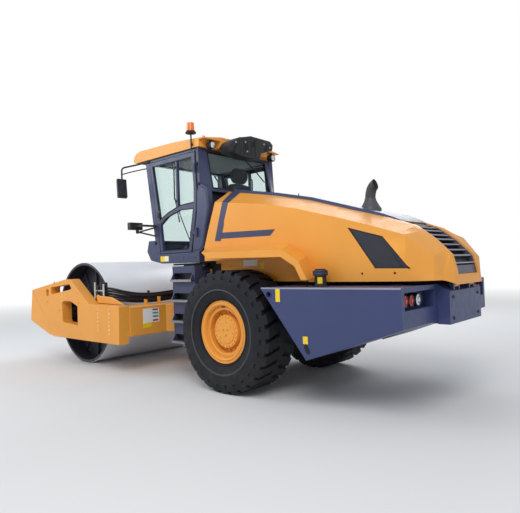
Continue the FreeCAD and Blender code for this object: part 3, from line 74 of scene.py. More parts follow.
camera.matrix_world = Matrix.Translation((axle_x - 4.4324, 5.4054, 1.5474)) @ Matrix(
    (camera_right, camera_up, -ahead)).transposed().to_4x4()
camera_data.sensor_width = 36
camera_data.lens = 36 * 497.47 / 520
camera_data.clip_end = 300
bpy.context.scene.camera = camera
bpy.context.scene.view_settings.view_transform = "Standard"

# Studio: a pale floor that fades into a white backdrop, three large soft lamps and a pale sky.
# The camera sees plain white round the machine, and so do its glass and its paint.
sky = bpy.data.worlds.new("studio")
bpy.context.scene.world = sky
sky.use_nodes = True
nodes, links = sky.node_tree.nodes, sky.node_tree.links
nodes.clear()
seen = nodes.new("ShaderNodeLightPath")
either = nodes.new("ShaderNodeMath")
either.operation = "MAXIMUM"
links.new(seen.outputs["Is Camera Ray"], either.inputs[0])
links.new(seen.outputs["Is Transmission Ray"], either.inputs[1])
backdrop_light = nodes.new("ShaderNodeBackground")
backdrop_light.inputs["Color"].default_value = (1, 1, 1, 1)
room_light = nodes.new("ShaderNodeBackground")
room_light.inputs["Color"].default_value = (0.90, 0.95, 1.0, 1)
room_light.inputs["Strength"].default_value = 0.62
choice = nodes.new("ShaderNodeMixShader")
links.new(either.outputs[0], choice.inputs[0])
links.new(room_light.outputs[0], choice.inputs[1])
links.new(backdrop_light.outputs[0], choice.inputs[2])
out = nodes.new("ShaderNodeOutputWorld")
links.new(choice.outputs[0], out.inputs["Surface"])

for name, place, size, energy, colour in (
        ("key", (-6.0, 7.5, 8.5), 6.0, 560, (1.0, 0.98, 0.95)),
        ("fill", (7.0, 6.0, 6.0), 6.0, 300, (0.95, 0.98, 1.0)),
        ("back", (2.0, -8.0, 7.0), 7.0, 360, (1.0, 1.0, 1.0))):
    lamp = bpy.data.lights.new(name, "AREA")
    lamp.shape = "DISK"
    lamp.size = size
    lamp.energy = energy
    lamp.color = colour
    holder = bpy.data.objects.new(name, lamp)
    bpy.context.scene.collection.objects.link(holder)
    holder.location = place
    holder.rotation_euler = (Vector((0, 0, 1.2)) - Vector(place)).to_track_quat("-Z", "Y").to_euler()

floor_mesh = bpy.data.meshes.new("floor")
floor_mesh.from_pydata([(-90, -90, 0), (90, -90, 0), (90, 90, 0), (-90, 90, 0)], [], [(0, 1, 2, 3)])
floor = bpy.data.objects.new("floor", floor_mesh)
bpy.context.scene.collection.objects.link(floor)
floor_paint = bpy.data.materials.new("floor")
floor_paint.use_nodes = True
nodes, links = floor_paint.node_tree.nodes, floor_paint.node_tree.links
nodes.clear()
place = nodes.new("ShaderNodeTexCoord")
reach = nodes.new("ShaderNodeVectorMath")
reach.operation = "LENGTH"
links.new(place.outputs["Object"], reach.inputs[0])
fade = nodes.new("ShaderNodeMapRange")
fade.inputs["From Min"].default_value = 6
fade.inputs["From Max"].default_value = 22
links.new(reach.outputs["Value"], fade.inputs["Value"])
matt = nodes.new("ShaderNodeBsdfDiffuse")
matt.inputs["Color"].default_value = (0.72, 0.72, 0.73, 1)
glow = nodes.new("ShaderNodeEmission")
glow.inputs["Color"].default_value = (1, 1, 1, 1)
choice = nodes.new("ShaderNodeMixShader")
links.new(fade.outputs[0], choice.inputs[0])
links.new(matt.outputs[0], choice.inputs[1])
links.new(glow.outputs[0], choice.inputs[2])
out = nodes.new("ShaderNodeOutputMaterial")
links.new(choice.outputs[0], out.inputs["Surface"])
floor_mesh.materials.append(floor_paint)
floor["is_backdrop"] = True

# Rear frame: welded rails and cross plates over the axle, the box under the cab and the hitch
# ears. It is thick black-painted plate, with its cut edges dressed smooth.


def coat(name, colour, second, rough=0.4, gloss=0.0, metal=0.0, grain=260, relief=0.08, dust=0.0):
    """A finish that drifts between two shades, with fine relief and uneven gloss, and dust low down."""
    finish = bpy.data.materials.new(name)
    finish.use_nodes = True
    nodes, links = finish.node_tree.nodes, finish.node_tree.links
    shader = nodes["Principled BSDF"]
    shader.inputs["Metallic"].default_value = metal
    shader.inputs["Coat Weight"].default_value = gloss
    shader.inputs["Coat Roughness"].default_value = 0.2
    shader.inputs["Specular IOR Level"].default_value = 0.32
    place = nodes.new("ShaderNodeTexCoord")

    def noise(scale, detail):
        pattern = nodes.new("ShaderNodeTexNoise")
        pattern.inputs["Scale"].default_value = scale
        pattern.inputs["Detail"].default_value = detail
        links.new(place.outputs["Object"], pattern.inputs["Vector"])
        return pattern.outputs["Fac"]

    def between(value, low, high, first, last):
        span = nodes.new("ShaderNodeMapRange")
        for socket, number in zip(("From Min", "From Max", "To Min", "To Max"),
                                  (low, high, first, last)):
            span.inputs[socket].default_value = number
        links.new(value, span.inputs["Value"])
        return span.outputs[0]

    shades = nodes.new("ShaderNodeMix")
    shades.data_type = "RGBA"
    shades.inputs["A"].default_value = (*colour, 1)
    shades.inputs["B"].default_value = (*second, 1)
    links.new(between(noise(1.7, 8), 0.35, 0.7, 0, 1), shades.inputs["Factor"])
    shade = shades.outputs["Result"]
    if dust:
        height = nodes.new("ShaderNodeSeparateXYZ")
        links.new(place.outputs["Object"], height.inputs[0])
        lift = nodes.new("ShaderNodeMath")
        lift.operation = "MULTIPLY"
        links.new(between(height.outputs["Z"], 0.0, 1.1, dust, 0), lift.inputs[0])
        links.new(between(noise(9, 6), 0.35, 0.65, 0.25, 1), lift.inputs[1])
        dusted = nodes.new("ShaderNodeMix")
        dusted.data_type = "RGBA"
        dusted.inputs["B"].default_value = (0.30, 0.28, 0.25, 1)
        links.new(shade, dusted.inputs["A"])
        links.new(lift.outputs[0], dusted.inputs["Factor"])
        shade = dusted.outputs["Result"]
    links.new(shade, shader.inputs["Base Color"])
    links.new(between(noise(11, 5), 0.3, 0.7, rough - 0.06, rough + 0.08), shader.inputs["Roughness"])
    bump = nodes.new("ShaderNodeBump")
    bump.inputs["Strength"].default_value = relief
    bump.inputs["Distance"].default_value = 0.001
    links.new(noise(grain, 2), bump.inputs["Height"])
    links.new(bump.outputs[0], shader.inputs["Normal"])
    return finish


def dress(node, finish, edge=0.004, steps=2, turn=28):
    """Give a frame node its finish, and break its sharp edges by a small radius."""
    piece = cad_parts[node]
    mesh = piece.data
    mesh.materials.clear()
    mesh.materials.append(finish)
    if "custom_normal" in mesh.attributes:
        mesh.attributes.remove(mesh.attributes["custom_normal"])
    mesh.shade_smooth()
    joined = piece.modifiers.new("joined seams", "WELD")
    joined.merge_threshold = 0.00005
    flat = piece.modifiers.new("whole faces", "DECIMATE")
    flat.decimate_type = "DISSOLVE"
    flat.angle_limit = math.radians(0.6)
    broken = piece.modifiers.new("broken edges", "BEVEL")
    broken.limit_method = "ANGLE"
    broken.angle_limit = math.radians(turn)
    broken.width = edge
    broken.segments = steps
    corner = piece.modifiers.new("true corners", "EDGE_SPLIT")
    corner.split_angle = math.radians(50)
    even = piece.modifiers.new("even shading", "WEIGHTED_NORMAL")
    even.keep_sharp = True
    return piece


orange = coat("orange paint", (0.80, 0.345, 0.055), (0.76, 0.32, 0.048), 0.42, 0.12)
slate = coat("slate paint", (0.048, 0.058, 0.124), (0.042, 0.051, 0.110), 0.42, 0.15)
black = coat("black paint", (0.018, 0.018, 0.022), (0.026, 0.026, 0.030), 0.45, 0.1, dust=0.35)
dress("rear_chassis", black)

# Rear axle and the steering centre joint: dark painted castings with a rough skin. A ring of
# screws closes the differential housing.


def build(name, body, finish, form, edge=0.0, steps=2, turn=35):
    """One piece from corners ahead of the rear axle and its faces, riding on a body."""
    corners, faces = form
    shape = bmesh.new()
    spots = [shape.verts.new((x + axle_x, y, z)) for x, y, z in corners]
    for face in faces:
        if len(set(face)) == len(face):
            shape.faces.new([spots[index] for index in face])
    bmesh.ops.remove_doubles(shape, verts=shape.verts, dist=0.00002)
    bmesh.ops.recalc_face_normals(shape, faces=shape.faces)
    mesh = bpy.data.meshes.new(name)
    shape.to_mesh(mesh)
    shape.free()
    mesh.shade_smooth()
    mesh.set_sharp_from_angle(angle=math.radians(turn))
    mesh.materials.append(finish)
    piece = bpy.data.objects.new(name, mesh)
    bpy.context.scene.collection.objects.link(piece)
    if edge:
        broken = piece.modifiers.new("broken edges", "BEVEL")
        broken.limit_method = "ANGLE"
        broken.angle_limit = math.radians(turn)
        broken.width = edge
        broken.segments = steps
    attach(piece, body)
    return piece


def slab(outline, plane, low, high):
    """A plate: an outline in a plane, and its thickness across that plane."""
    count = len(outline)
    spread = {"XZ": lambda u, v, w: (u, w, v), "YZ": lambda u, v, w: (w, u, v),
              "XY": lambda u, v, w: (u, v, w)}[plane]
    corners = [spread(u, v, w) for w in (low, high) for u, v in outline]
    faces = [tuple(range(count)), tuple(range(2 * count - 1, count - 1, -1))]
    for index in range(count):
        after = (index + 1) % count
        faces.append((index, after, after + count, index + count))
    return corners, faces


def turned(profile, centre, axis, steps=48):
    """A closed profile of (along, radius) points turned about an axis through a centre."""
    corners, faces = [], []
    count = len(profile)
    for index in range(steps):
        angle = 2 * math.pi * index / steps
        for along, radius in profile:
            u, v = radius * math.cos(angle), radius * math.sin(angle)
            spot = {"X": (along, u, v), "Y": (v, along, u), "Z": (u, v, along)}[axis]
            corners.append(tuple(a + b for a, b in zip(spot, centre)))
        here, there = index * count, (index + 1) % steps * count
        for point in range(count):
            after = (point + 1) % count
            faces.append((here + point, here + after, there + after, there + point))
    return corners, faces


def joined(*forms):
    """Several forms as one."""
    corners, faces = [], []
    for more, rest in forms:
        faces += [tuple(index + len(corners) for index in face) for face in rest]
        corners += more
    return corners, faces


def bolts(places, axis, out, radius, height):
    """Hexagon heads on washers at the places, standing out along an axis."""
    washer = [(0, 0), (0, radius * 1.4), (out * height * 0.22, radius * 1.4), (out * height * 0.22, 0)]
    head = [(out * height * 0.2, 0), (out * height * 0.2, radius), (out * height * 0.88, radius),
            (out * height, radius * 0.8), (out * height, 0)]
    forms = []
    for place in places:
        forms.append(turned(washer, place, axis, 12))
        forms.append(turned(head, place, axis, 6))
    return joined(*forms)


def circle_of(count, radius, centre, axis, start=0.0):
    """Evenly spaced places on a circle about an axis."""
    places = []
    for index in range(count):
        angle = start + 2 * math.pi * index / count
        u, v = radius * math.cos(angle), radius * math.sin(angle)
        spot = {"X": (0, u, v), "Y": (u, 0, v), "Z": (u, v, 0)}[axis]
        places.append(tuple(a + b for a, b in zip(spot, centre)))
    return places


casting = coat("casting", (0.035, 0.035, 0.040), (0.055, 0.050, 0.048), 0.6, grain=90, relief=0.35)
for node in ("rear_axle", "centre_joint", "engine_block", "radiator"):
    dress(node, casting, 0.006)
axle_z = 0.755
build("differential_screws", "rear_frame", casting, joined(
    bolts(circle_of(14, 0.19, (0, 0.151, axle_z), "Y"), "Y", 1, 0.011, 0.014),
    bolts(circle_of(14, 0.19, (0, -0.151, axle_z), "Y"), "Y", -1, 0.011, 0.014)))

# Rear wheels: block-pattern tyres on orange steel rims. The rim is a wide flange with a lock ring,
# then a deep cone down to the disc, where the nuts hold it on the round hub drive.
rubber = coat("tyre rubber", (0.006, 0.0065, 0.011), (0.011, 0.011, 0.016), 0.70, grain=140,
              relief=0.25, dust=0.06)
# A lighter rubber for the bead ridge: a painted highlight that draws a faint line of light round the sidewall.
ridge_highlight_rubber = coat("rubber ridge with painted highlight", (0.055, 0.055, 0.060), (0.045, 0.045, 0.050), 0.55, grain=200,
                   relief=0.2)
for name, side in (("left", 1), ("right", -1)):
    body = "wheel_" + name
    dress("wheel_rim_" + name, orange, 0.004)
    dress("tyre_" + name, rubber, 0.007, 2, 30)
    centre = (0, 0, axle_z)

    def wheel_ring(label, profile, finish, steps=72):
        return build(label + "_" + name, body, finish,
                     turned([(side * along, radius) for along, radius in profile], centre, "Y", steps))

    # The bead ridge uses the lighter rubber of a painted highlight.
    wheel_ring("bead_ridge", [(1.150, 0.498), (1.2310, 0.507), (1.2372, 0.514), (1.2375, 0.520), (1.2335, 0.528),
                              (1.150, 0.530)], ridge_highlight_rubber)
    wheel_ring("flank_ridge", [(1.18, 0.398), (1.199, 0.404), (1.2015, 0.412), (1.19, 0.420)],
               rubber)
    wheel_ring("lock_ring", [(1.150, 0.330), (1.1755, 0.331), (1.183, 0.340), (1.1815, 0.349), (1.174, 0.354),
                             (1.150, 0.354)], orange)
    wheel_ring("flange_lip", [(1.158, 0.372), (1.1745, 0.3725), (1.1805, 0.379), (1.1765, 0.3875),
                              (1.160, 0.388)], orange)
    wheel_ring("rim_ledge", [(1.045, 0.266), (1.130, 0.268), (1.137, 0.275), (1.137, 0.292), (1.128, 0.316),
                             (1.100, 0.318), (1.050, 0.285)], orange)
    wheel_ring("hub_step", [(1.02, 0.205), (1.112, 0.205), (1.121, 0.199), (1.121, 0.152), (1.128, 0.148),
                            (1.128, 0.0), (1.02, 0.0)], orange, 64)
    build("hub_bolts_" + name, body, orange, joined(
        bolts(circle_of(20, 0.181, (0, side * 1.120, axle_z), "Y"), "Y", side, 0.0085, 0.013),
        bolts(circle_of(8, 0.118, (0, side * 1.127, axle_z), "Y", 0.1), "Y", side, 0.007, 0.010),
        bolts(circle_of(3, 0.045, (0, side * 1.127, axle_z), "Y", 0.5), "Y", side, 0.011, 0.014)))
    build("wheel_nuts_" + name, body, orange, bolts(
        circle_of(20, 0.235, (0, side * 1.0425, axle_z), "Y"), "Y", side, 0.014, 0.026))
    build("tyre_valve_" + name, body, black, turned(
        [(1.10 * side, 0.0), (1.10 * side, 0.009), (1.165 * side, 0.007), (1.19 * side, 0.005),
         (1.19 * side, 0.0)], (0.0, 0, axle_z + 0.305), "Y", 12))

# Side boxes: welded plate boxes, painted slate, with lamps let into the rear face, a tie-down hole
# near each end and a filler neck with a cap on the left one.
# The side boxes, tie rings and counterweight get a bluer slate than the cab: a painted reflection of a blue floor,
# not a different paint.
slate_blue_reflection = coat("slate paint with painted blue reflection", (0.042, 0.056, 0.152), (0.037, 0.050, 0.136), 0.42, 0.15)
for node in ("side_box_left", "side_box_right"):
    dress(node, slate_blue_reflection, 0.008, 2)
yellow = coat("yellow film", (0.86, 0.60, 0.02), (0.84, 0.57, 0.02), 0.45, grain=300, relief=0.03)
white = coat("white film", (0.80, 0.80, 0.80), (0.76, 0.76, 0.77), 0.45, grain=300, relief=0.03)
film_edge = 0.0012


def film(name, outline, plane, face, finish, body="rear_frame", thick=0.0016):
    """A blank stuck-on film on a flat face; thick is signed along the face's outward axis."""
    return build(name, body, finish, slab(outline, plane, face - thick * 0.2, face + thick))


def corners_of(u0, u1, v0, v1):
    return [(u0, v0), (u1, v0), (u1, v1), (u0, v1)]


# A lighter slate on the boxes' top edges and on the louvres' rolled edges is a painted highlight.
slate_edge_highlight = coat("slate edge with painted highlight", (0.30, 0.31, 0.38), (0.24, 0.25, 0.32), 0.32, 0.3)
# A near-black finish for flat films that stand in for holes: painted shade of the holes' shadowed insides.
hole_painted_shade = coat("painted hole shade", (0.010, 0.010, 0.013), (0.016, 0.016, 0.018), 0.6)
for name, side in (("left", 1), ("right", -1)):
    face = side * 1.244
    film("tie_mark_" + name, corners_of(-0.985, -0.925, 1.150, 1.290), "XZ", face, yellow, thick=side * 0.0016)
    film("low_mark_" + name, corners_of(-1.340, -1.278, 0.720, 0.797), "XZ", face, yellow, thick=side * 0.0016)
    build("tie_ring_" + name, "rear_frame", slate_blue_reflection, turned(
        [(side * -0.002, 0.032), (side * 0.004, 0.033), (side * 0.004, 0.044), (side * -0.002, 0.046)],
        (-0.825, face, 1.228), "Y", 32))
    slot_shape = []
    for index in range(24):
        angle = 2 * math.pi * index / 24
        lift = 0.026 if math.sin(angle + 0.35) > 0 else -0.026
        slot_shape.append((-1.325 + 0.026 * math.cos(angle) + lift * 0.45,
                           0.664 + 0.026 * math.sin(angle) + lift * 0.9))
    # The low slot is only a flat dark film: painted shade in place of the hole.
    film("low_slot_" + name, slot_shape, "XZ", face, hole_painted_shade, thick=side * 0.0012)
    rear = -2.398 if side > 0 else -2.320
    build("deck_edge_" + name, "rear_frame", slate_edge_highlight, slab(
        corners_of(rear + 0.004, -0.712, 1.288, 1.3055), "XZ", *sorted((face - side * 0.03, face + side * 0.0012))),
        0.0015, 1)
    build("deck_screws_" + name, "rear_frame", casting, bolts(
        [(x, side * 0.93, 1.303) for x in (-0.86, -1.12, -1.62, -1.95, -2.2)], "Z", 1, 0.012, 0.012))
build("fuel_neck", "rear_frame", black, joined(
    turned([(1.301, 0.0), (1.301, 0.092), (1.309, 0.092), (1.313, 0.066), (1.335, 0.063), (1.423, 0.063),
            (1.423, 0.0)], (-1.33, 0.96, 0), "Z", 40)))
build("fuel_cap", "rear_frame", black, joined(
    turned([(1.420, 0.0), (1.420, 0.079), (1.430, 0.083), (1.440, 0.083), (1.447, 0.074), (1.452, 0.083),
            (1.470, 0.083), (1.479, 0.073), (1.481, 0.0)], (-1.33, 0.96, 0), "Z", 40),
    slab(corners_of(-1.395, -1.265, 0.948, 0.972), "XY", 1.478, 1.494)), 0.002, 1)
cap_metal = coat("cap band", (0.50, 0.50, 0.52), (0.42, 0.42, 0.45), 0.3, metal=0.8)
build("fuel_cap_band", "rear_frame", cap_metal, turned(
    [(1.4475, 0.070), (1.4475, 0.0815), (1.4545, 0.0815), (1.4545, 0.070)], (-1.33, 0.96, 0), "Z", 40))
label_shape = []
for angle in range(-24, 25, 6):
    turn = math.radians(118 + angle)
    label_shape.append((-1.33 + 0.0645 * math.cos(turn), 0.96 + 0.0645 * math.sin(turn)))
for angle in range(24, -25, -6):
    turn = math.radians(118 + angle)
    label_shape.append((-1.33 + 0.062 * math.cos(turn), 0.96 + 0.062 * math.sin(turn)))
build("fuel_mark", "rear_frame", yellow, slab(label_shape, "XY", 1.335, 1.405))

# Tail lamps: two red ones and a clear one in each box's bay, each a domed lens in a black bezel.
red_lens = coat("red lens", (0.42, 0.004, 0.014), (0.52, 0.006, 0.018), 0.16, 0.4, grain=60, relief=0.3)
clear_lens = coat("clear lens", (0.62, 0.64, 0.67), (0.80, 0.81, 0.83), 0.1, 0.8, metal=0.55, grain=50,
                  relief=0.35)
dress("tail_lamps", black)
for name, side in (("left", 1), ("right", -1)):
    rear = (-2.398 if side > 0 else -2.320) + 0.120 - 0.085
    for index, (y, radius, lens) in enumerate(((1.112, 0.056, red_lens), (0.985, 0.056, red_lens),
                                               (0.833, 0.062, clear_lens))):
        centre = (rear, side * y, 1.172)
        build("tail_lens_%s_%d" % (name, index + 1), "rear_frame", lens, turned(
            [(0.004, 0.0), (0.004, radius - 0.004), (-0.006, radius - 0.005), (-0.014, radius * 0.62),
             (-0.018, radius * 0.3), (-0.019, 0.0)], centre, "X", 32))
        build("tail_reflector_%s_%d" % (name, index + 1), "rear_frame", black, turned(
            [(-0.0150, radius * 0.46), (-0.0185, radius * 0.49), (-0.0150, radius * 0.56)], centre, "X", 32))
        build("tail_bezel_%s_%d" % (name, index + 1), "rear_frame", black, turned(
            [(0.012, radius - 0.006), (-0.009, radius - 0.006), (-0.011, radius), (0.012, radius + 0.002)],
            centre, "X", 32))
    build("bay_knob_" + name, "rear_frame", casting, turned(
        [(0.084, 0.0), (0.084, 0.026), (0.062, 0.024), (0.050, 0.014), (0.040, 0.0)],
        (rear, side * 0.637, 1.145), "X", 24))

# Counterweight: one heavy block across the tail, with a lip round its sloping top.
# The counterweight's bluer slate is a painted reflection of a blue floor.
dress("counterweight", slate_blue_reflection, 0.012, 3)
build("weight_screws", "rear_frame", casting, bolts(
    [(-2.525, y, z) for y in (-0.36, 0.36) for z in (0.955, 1.17)], "X", -1, 0.014, 0.012))
build("weight_lip", "rear_frame", slate_blue_reflection, slab(
    [(-2.5285, 1.205), (-2.5285, 1.2295), (-2.512, 1.2395), (-2.512, 1.205)], "XZ", -0.448, 0.448),
    0.002, 1)
build("hinge_screen", "rear_frame", black, slab(
    corners_of(-2.452, -2.444, 1.200, 1.270), "XZ", -0.40, 0.40), 0.001, 1)

# Hood: one moulded orange cover that tilts about the tail, with a slate panel down its back, slate
# stripes behind the cab and a flared lip over each wheel.
dress("hood_shell", orange, 0.020, 3, 30)
spine = [(0.46, 2.595, 0.446, 0.042), (-0.33, 2.450, 0.446, 0.042), (-0.86, 2.330, 0.443, 0.042),
         (-1.39, 2.170, 0.436, 0.040), (-1.80, 2.051, 0.424, 0.030), (-1.93, 2.007, 0.375, 0.016),
         (-1.995, 1.981, 0.330, 0.004)]


def back_panel(stations, low):
    """A low cover with sloping sides, from stations of place, height, half width and thickness."""
    corners, faces = [], []
    for x, z, half, high in stations:
        top = half - 0.030
        corners += [(x, -half, z + low), (x, half, z + low), (x, top, z + high), (x, -top, z + high)]
    for index in range(len(stations) - 1):
        here, there = index * 4, index * 4 + 4
        for side in range(4):
            after = (side + 1) % 4
            faces.append((here + side, here + after, there + after, there + side))
    last = len(corners)
    return corners, faces + [(0, 1, 2, 3), (last - 4, last - 3, last - 2, last - 1)]


build("hood_back_panel", "hood", slate,
      back_panel(spine, -0.004), 0.008, 3, 20)
for name, side in (("left", 1), ("right", -1)):
    face = side * 0.8
    film("hood_band_" + name, [(0.338, 2.009), (0.364, 1.927), (-0.500, 1.912), (-0.585, 1.985)],
         "XZ", face, slate, "hood", side * 0.002)
    film("hood_stripe_" + name, [(0.486, 1.903), (0.370, 1.896), (0.296, 2.122), (0.300, 2.150),
                                 (0.201, 2.405), (0.319, 2.4065)], "XZ", face, slate, "hood",
         side * 0.002)
    rise = []
    for y, z_high, z_low, x_front, x_back in ((0.798, 2.416, 2.398, 0.328, 0.198),
                                              (0.448, 2.603, 2.575, 0.470, 0.320)):
        rise.append(((x_front, side * y, z_high), (x_back, side * y, z_low)))
    (f0, b0), (f1, b1) = rise
    low = [(x, y, z - 0.010) for x, y, z in (f0, f1, b1, b0)]
    build("hood_stripe_slope_" + name, "hood", slate, (
        [f0, f1, b1, b0] + low,
        [(0, 1, 2, 3), (7, 6, 5, 4), (0, 4, 5, 1), (1, 5, 6, 2), (2, 6, 7, 3), (3, 7, 4, 0)]))
    inner = side * 0.585
    film("arch_label_" + name, corners_of(-0.08, 0.17, 1.552, 1.632), "XZ", inner, white, "hood",
         side * 0.002)
    film("arch_mark_" + name, corners_of(-0.19, -0.13, 1.505, 1.592), "XZ", inner, yellow, "hood",
         side * 0.002)
    build("flare_screws_" + name, "hood", casting, bolts(
        [(x, side * 0.8, z) for x, z in ((-1.30, 1.43), (-1.75, 1.43), (-2.12, 1.43))], "Y", side, 0.009, 0.008))
aerial = "hood_sensor"
build(aerial, "hood", black, turned(
    [(2.440, 0.0), (2.440, 0.020), (2.452, 0.016), (2.462, 0.009), (2.512, 0.007), (2.516, 0.0)],
    (-0.352, 0.0, 0), "Z", 16))

# Tail louvres and side meshes: black slats with rolled front edges, and expanded metal of fine
# diagonal strands behind a slim frame.
grille_slate = coat("louvre paint", (0.080, 0.082, 0.125), (0.070, 0.072, 0.110), 0.36, 0.25)
dress("hood_grille", grille_slate, 0.003)
dress("hood_meshes", black, 0.002)
slope = [(-2.000, 1.979), (-2.160, 1.917), (-2.350, 1.772), (-2.520, 1.597), (-2.547, 1.491)]
lengths = [math.dist(a, b) for a, b in zip(slope, slope[1:])]
edges = []
for index in range(9):
    along = sum(lengths) * (index + 0.6) / 9
    stretch = 0
    while along > lengths[stretch]:
        along -= lengths[stretch]
        stretch += 1
    share = along / lengths[stretch]
    x = slope[stretch][0] + (slope[stretch + 1][0] - slope[stretch][0]) * share + 0.0175
    z = slope[stretch][1] + (slope[stretch + 1][1] - slope[stretch][1]) * share - 0.017
    edges.append(slab([(x + 0.007 * math.cos(a), z + 0.0085 * math.sin(a)) for a in
                       [math.radians(45 * step) for step in range(8)]], "XZ", -0.290, 0.290))
# The rolled slat edges carry the lighter slate of a painted highlight.
build("louvre_edges", "hood", slate_edge_highlight, joined(*edges))
behind = [(x + 0.055, z - 0.050) for x, z in slope]
build("louvre_backing", "hood", black, slab(
    behind + [(x + 0.005, z - 0.005) for x, z in reversed(behind)], "XZ", -0.295, 0.295))
mesh_outline = [(-1.587, 1.928), (-1.998, 1.807), (-2.276, 1.472), (-1.900, 1.480)]
for name, side in (("left", 1), ("right", -1)):
    strands = []

    def inside(x, z):
        for (x0, z0), (x1, z1) in zip(mesh_outline, mesh_outline[1:] + mesh_outline[:1]):
            if (x1 - x0) * (z - z0) - (z1 - z0) * (x - x0) < -0.0001:
                return False
        return True

    for lean in (0.62, -0.62):
        for step in range(-40, 90):
            start = step * 0.014
            run = []
            for count in range(0, 170):
                z = 1.474 + count * 0.0027
                x = -2.40 + start + (z - 1.474) * lean * (1 if lean > 0 else 1) + (0.28 if lean < 0 else 0)
                if inside(x, z):
                    run.append((x, z))
            if len(run) > 3:
                (x0, z0), (x1, z1) = run[0], run[-1]
                strands.append(slab([(x0 - 0.0012, z0), (x0 + 0.0012, z0), (x1 + 0.0012, z1), (x1 - 0.0012, z1)],
                                    "XZ", side * 0.7872, side * 0.7895))
    mesh_metal = coat("mesh metal " + name, (0.085, 0.088, 0.120), (0.070, 0.072, 0.10), 0.4)
    build("mesh_strands_" + name, "hood", mesh_metal, joined(*strands))
    frame_strips = []
    for (x0, z0), (x1, z1) in zip(mesh_outline, mesh_outline[1:] + mesh_outline[:1]):
        run = math.dist((x0, z0), (x1, z1))
        nx, nz = (z1 - z0) / run * 0.012, -(x1 - x0) / run * 0.012
        frame_strips.append(slab([(x0, z0), (x1, z1), (x1 - nx, z1 - nz), (x0 - nx, z0 - nz)], "XZ",
                                 side * 0.788, side * 0.793))
    build("mesh_frame_" + name, "hood", black, joined(*frame_strips))

# Exhaust: a flared sheet-metal foot on the hood's back, and a bent pipe cut off at a slant.
soot = coat("exhaust steel", (0.060, 0.060, 0.066), (0.085, 0.080, 0.080), 0.5, metal=0.5, grain=120,
            relief=0.25)
foot_paint = coat("exhaust foot paint", (0.085, 0.082, 0.095), (0.070, 0.068, 0.080), 0.45, 0.1)
foot = turned([(2.080, 0.120), (2.080, 0.132), (2.190, 0.130), (2.225, 0.108), (2.262, 0.088), (2.295, 0.071),
               (2.320, 0.067), (2.320, 0.056), (2.200, 0.100)], (-1.435, 0, 0), "Z", 48)
path = [(-1.435, 2.280), (-1.437, 2.335), (-1.444, 2.385), (-1.458, 2.428), (-1.482, 2.462), (-1.510, 2.484)]
corners, faces = [], []
ring = 32
for radius in (0.062, 0.055):
    for index, (x, z) in enumerate(path):
        before = path[max(index - 1, 0)]
        after = path[min(index + 1, len(path) - 1)]
        heading = math.atan2(after[1] - before[1], after[0] - before[0])
        across = heading - math.pi / 2
        for step in range(ring):
            angle = 2 * math.pi * step / ring
            u, v = radius * math.cos(angle), radius * math.sin(angle)
            slant = 0.42 * u if index == len(path) - 1 else 0.0
            corners.append((x + u * math.cos(across) + slant * math.cos(heading), v,
                            z + u * math.sin(across) + slant * math.sin(heading)))
rows = len(path)
for layer in (0, 1):
    for row in range(rows - 1):
        for step in range(ring):
            here = (layer * rows + row) * ring
            after = (step + 1) % ring
            faces.append((here + step, here + after, here + ring + after, here + ring + step))
for row in (0, rows - 1):
    for step in range(ring):
        after = (step + 1) % ring
        faces.append((row * ring + step, row * ring + after, (rows + row) * ring + after,
                      (rows + row) * ring + step))
pipe = build("exhaust_pipe", "hood", soot, (corners, faces))
exhaust_foot = build("exhaust_foot", "hood", foot_paint, foot)
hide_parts("exhaust_stub")
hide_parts("exhaust_stub")

# Cab base and frame: welded slate sheet and pillars, a bulged cover panel behind each door, black
# rubber seals and a blank yellow mark on the sill.
for node in ("cab_base", "cab_frame"):
    dress(node, slate, 0.010, 3)
seal = coat("rubber seal", (0.010, 0.010, 0.012), (0.016, 0.016, 0.018), 0.6, grain=300, relief=0.2)


def strip(points, width, y_low, y_high):
    """A narrow strip along a line of places on a side face."""
    forms = []
    for (x0, z0), (x1, z1) in zip(points, points[1:]):
        run = math.dist((x0, z0), (x1, z1))
        ux, uz = (x1 - x0) / run * width * 0.5, (z1 - z0) / run * width * 0.5
        nx, nz = uz, -ux
        forms.append(slab([(x0 - ux + nx, z0 - uz + nz), (x1 + ux + nx, z1 + uz + nz),
                           (x1 + ux - nx, z1 + uz - nz), (x0 - ux - nx, z0 - uz - nz)],
                          "XZ", min(y_low, y_high), max(y_low, y_high)))
    return joined(*forms)


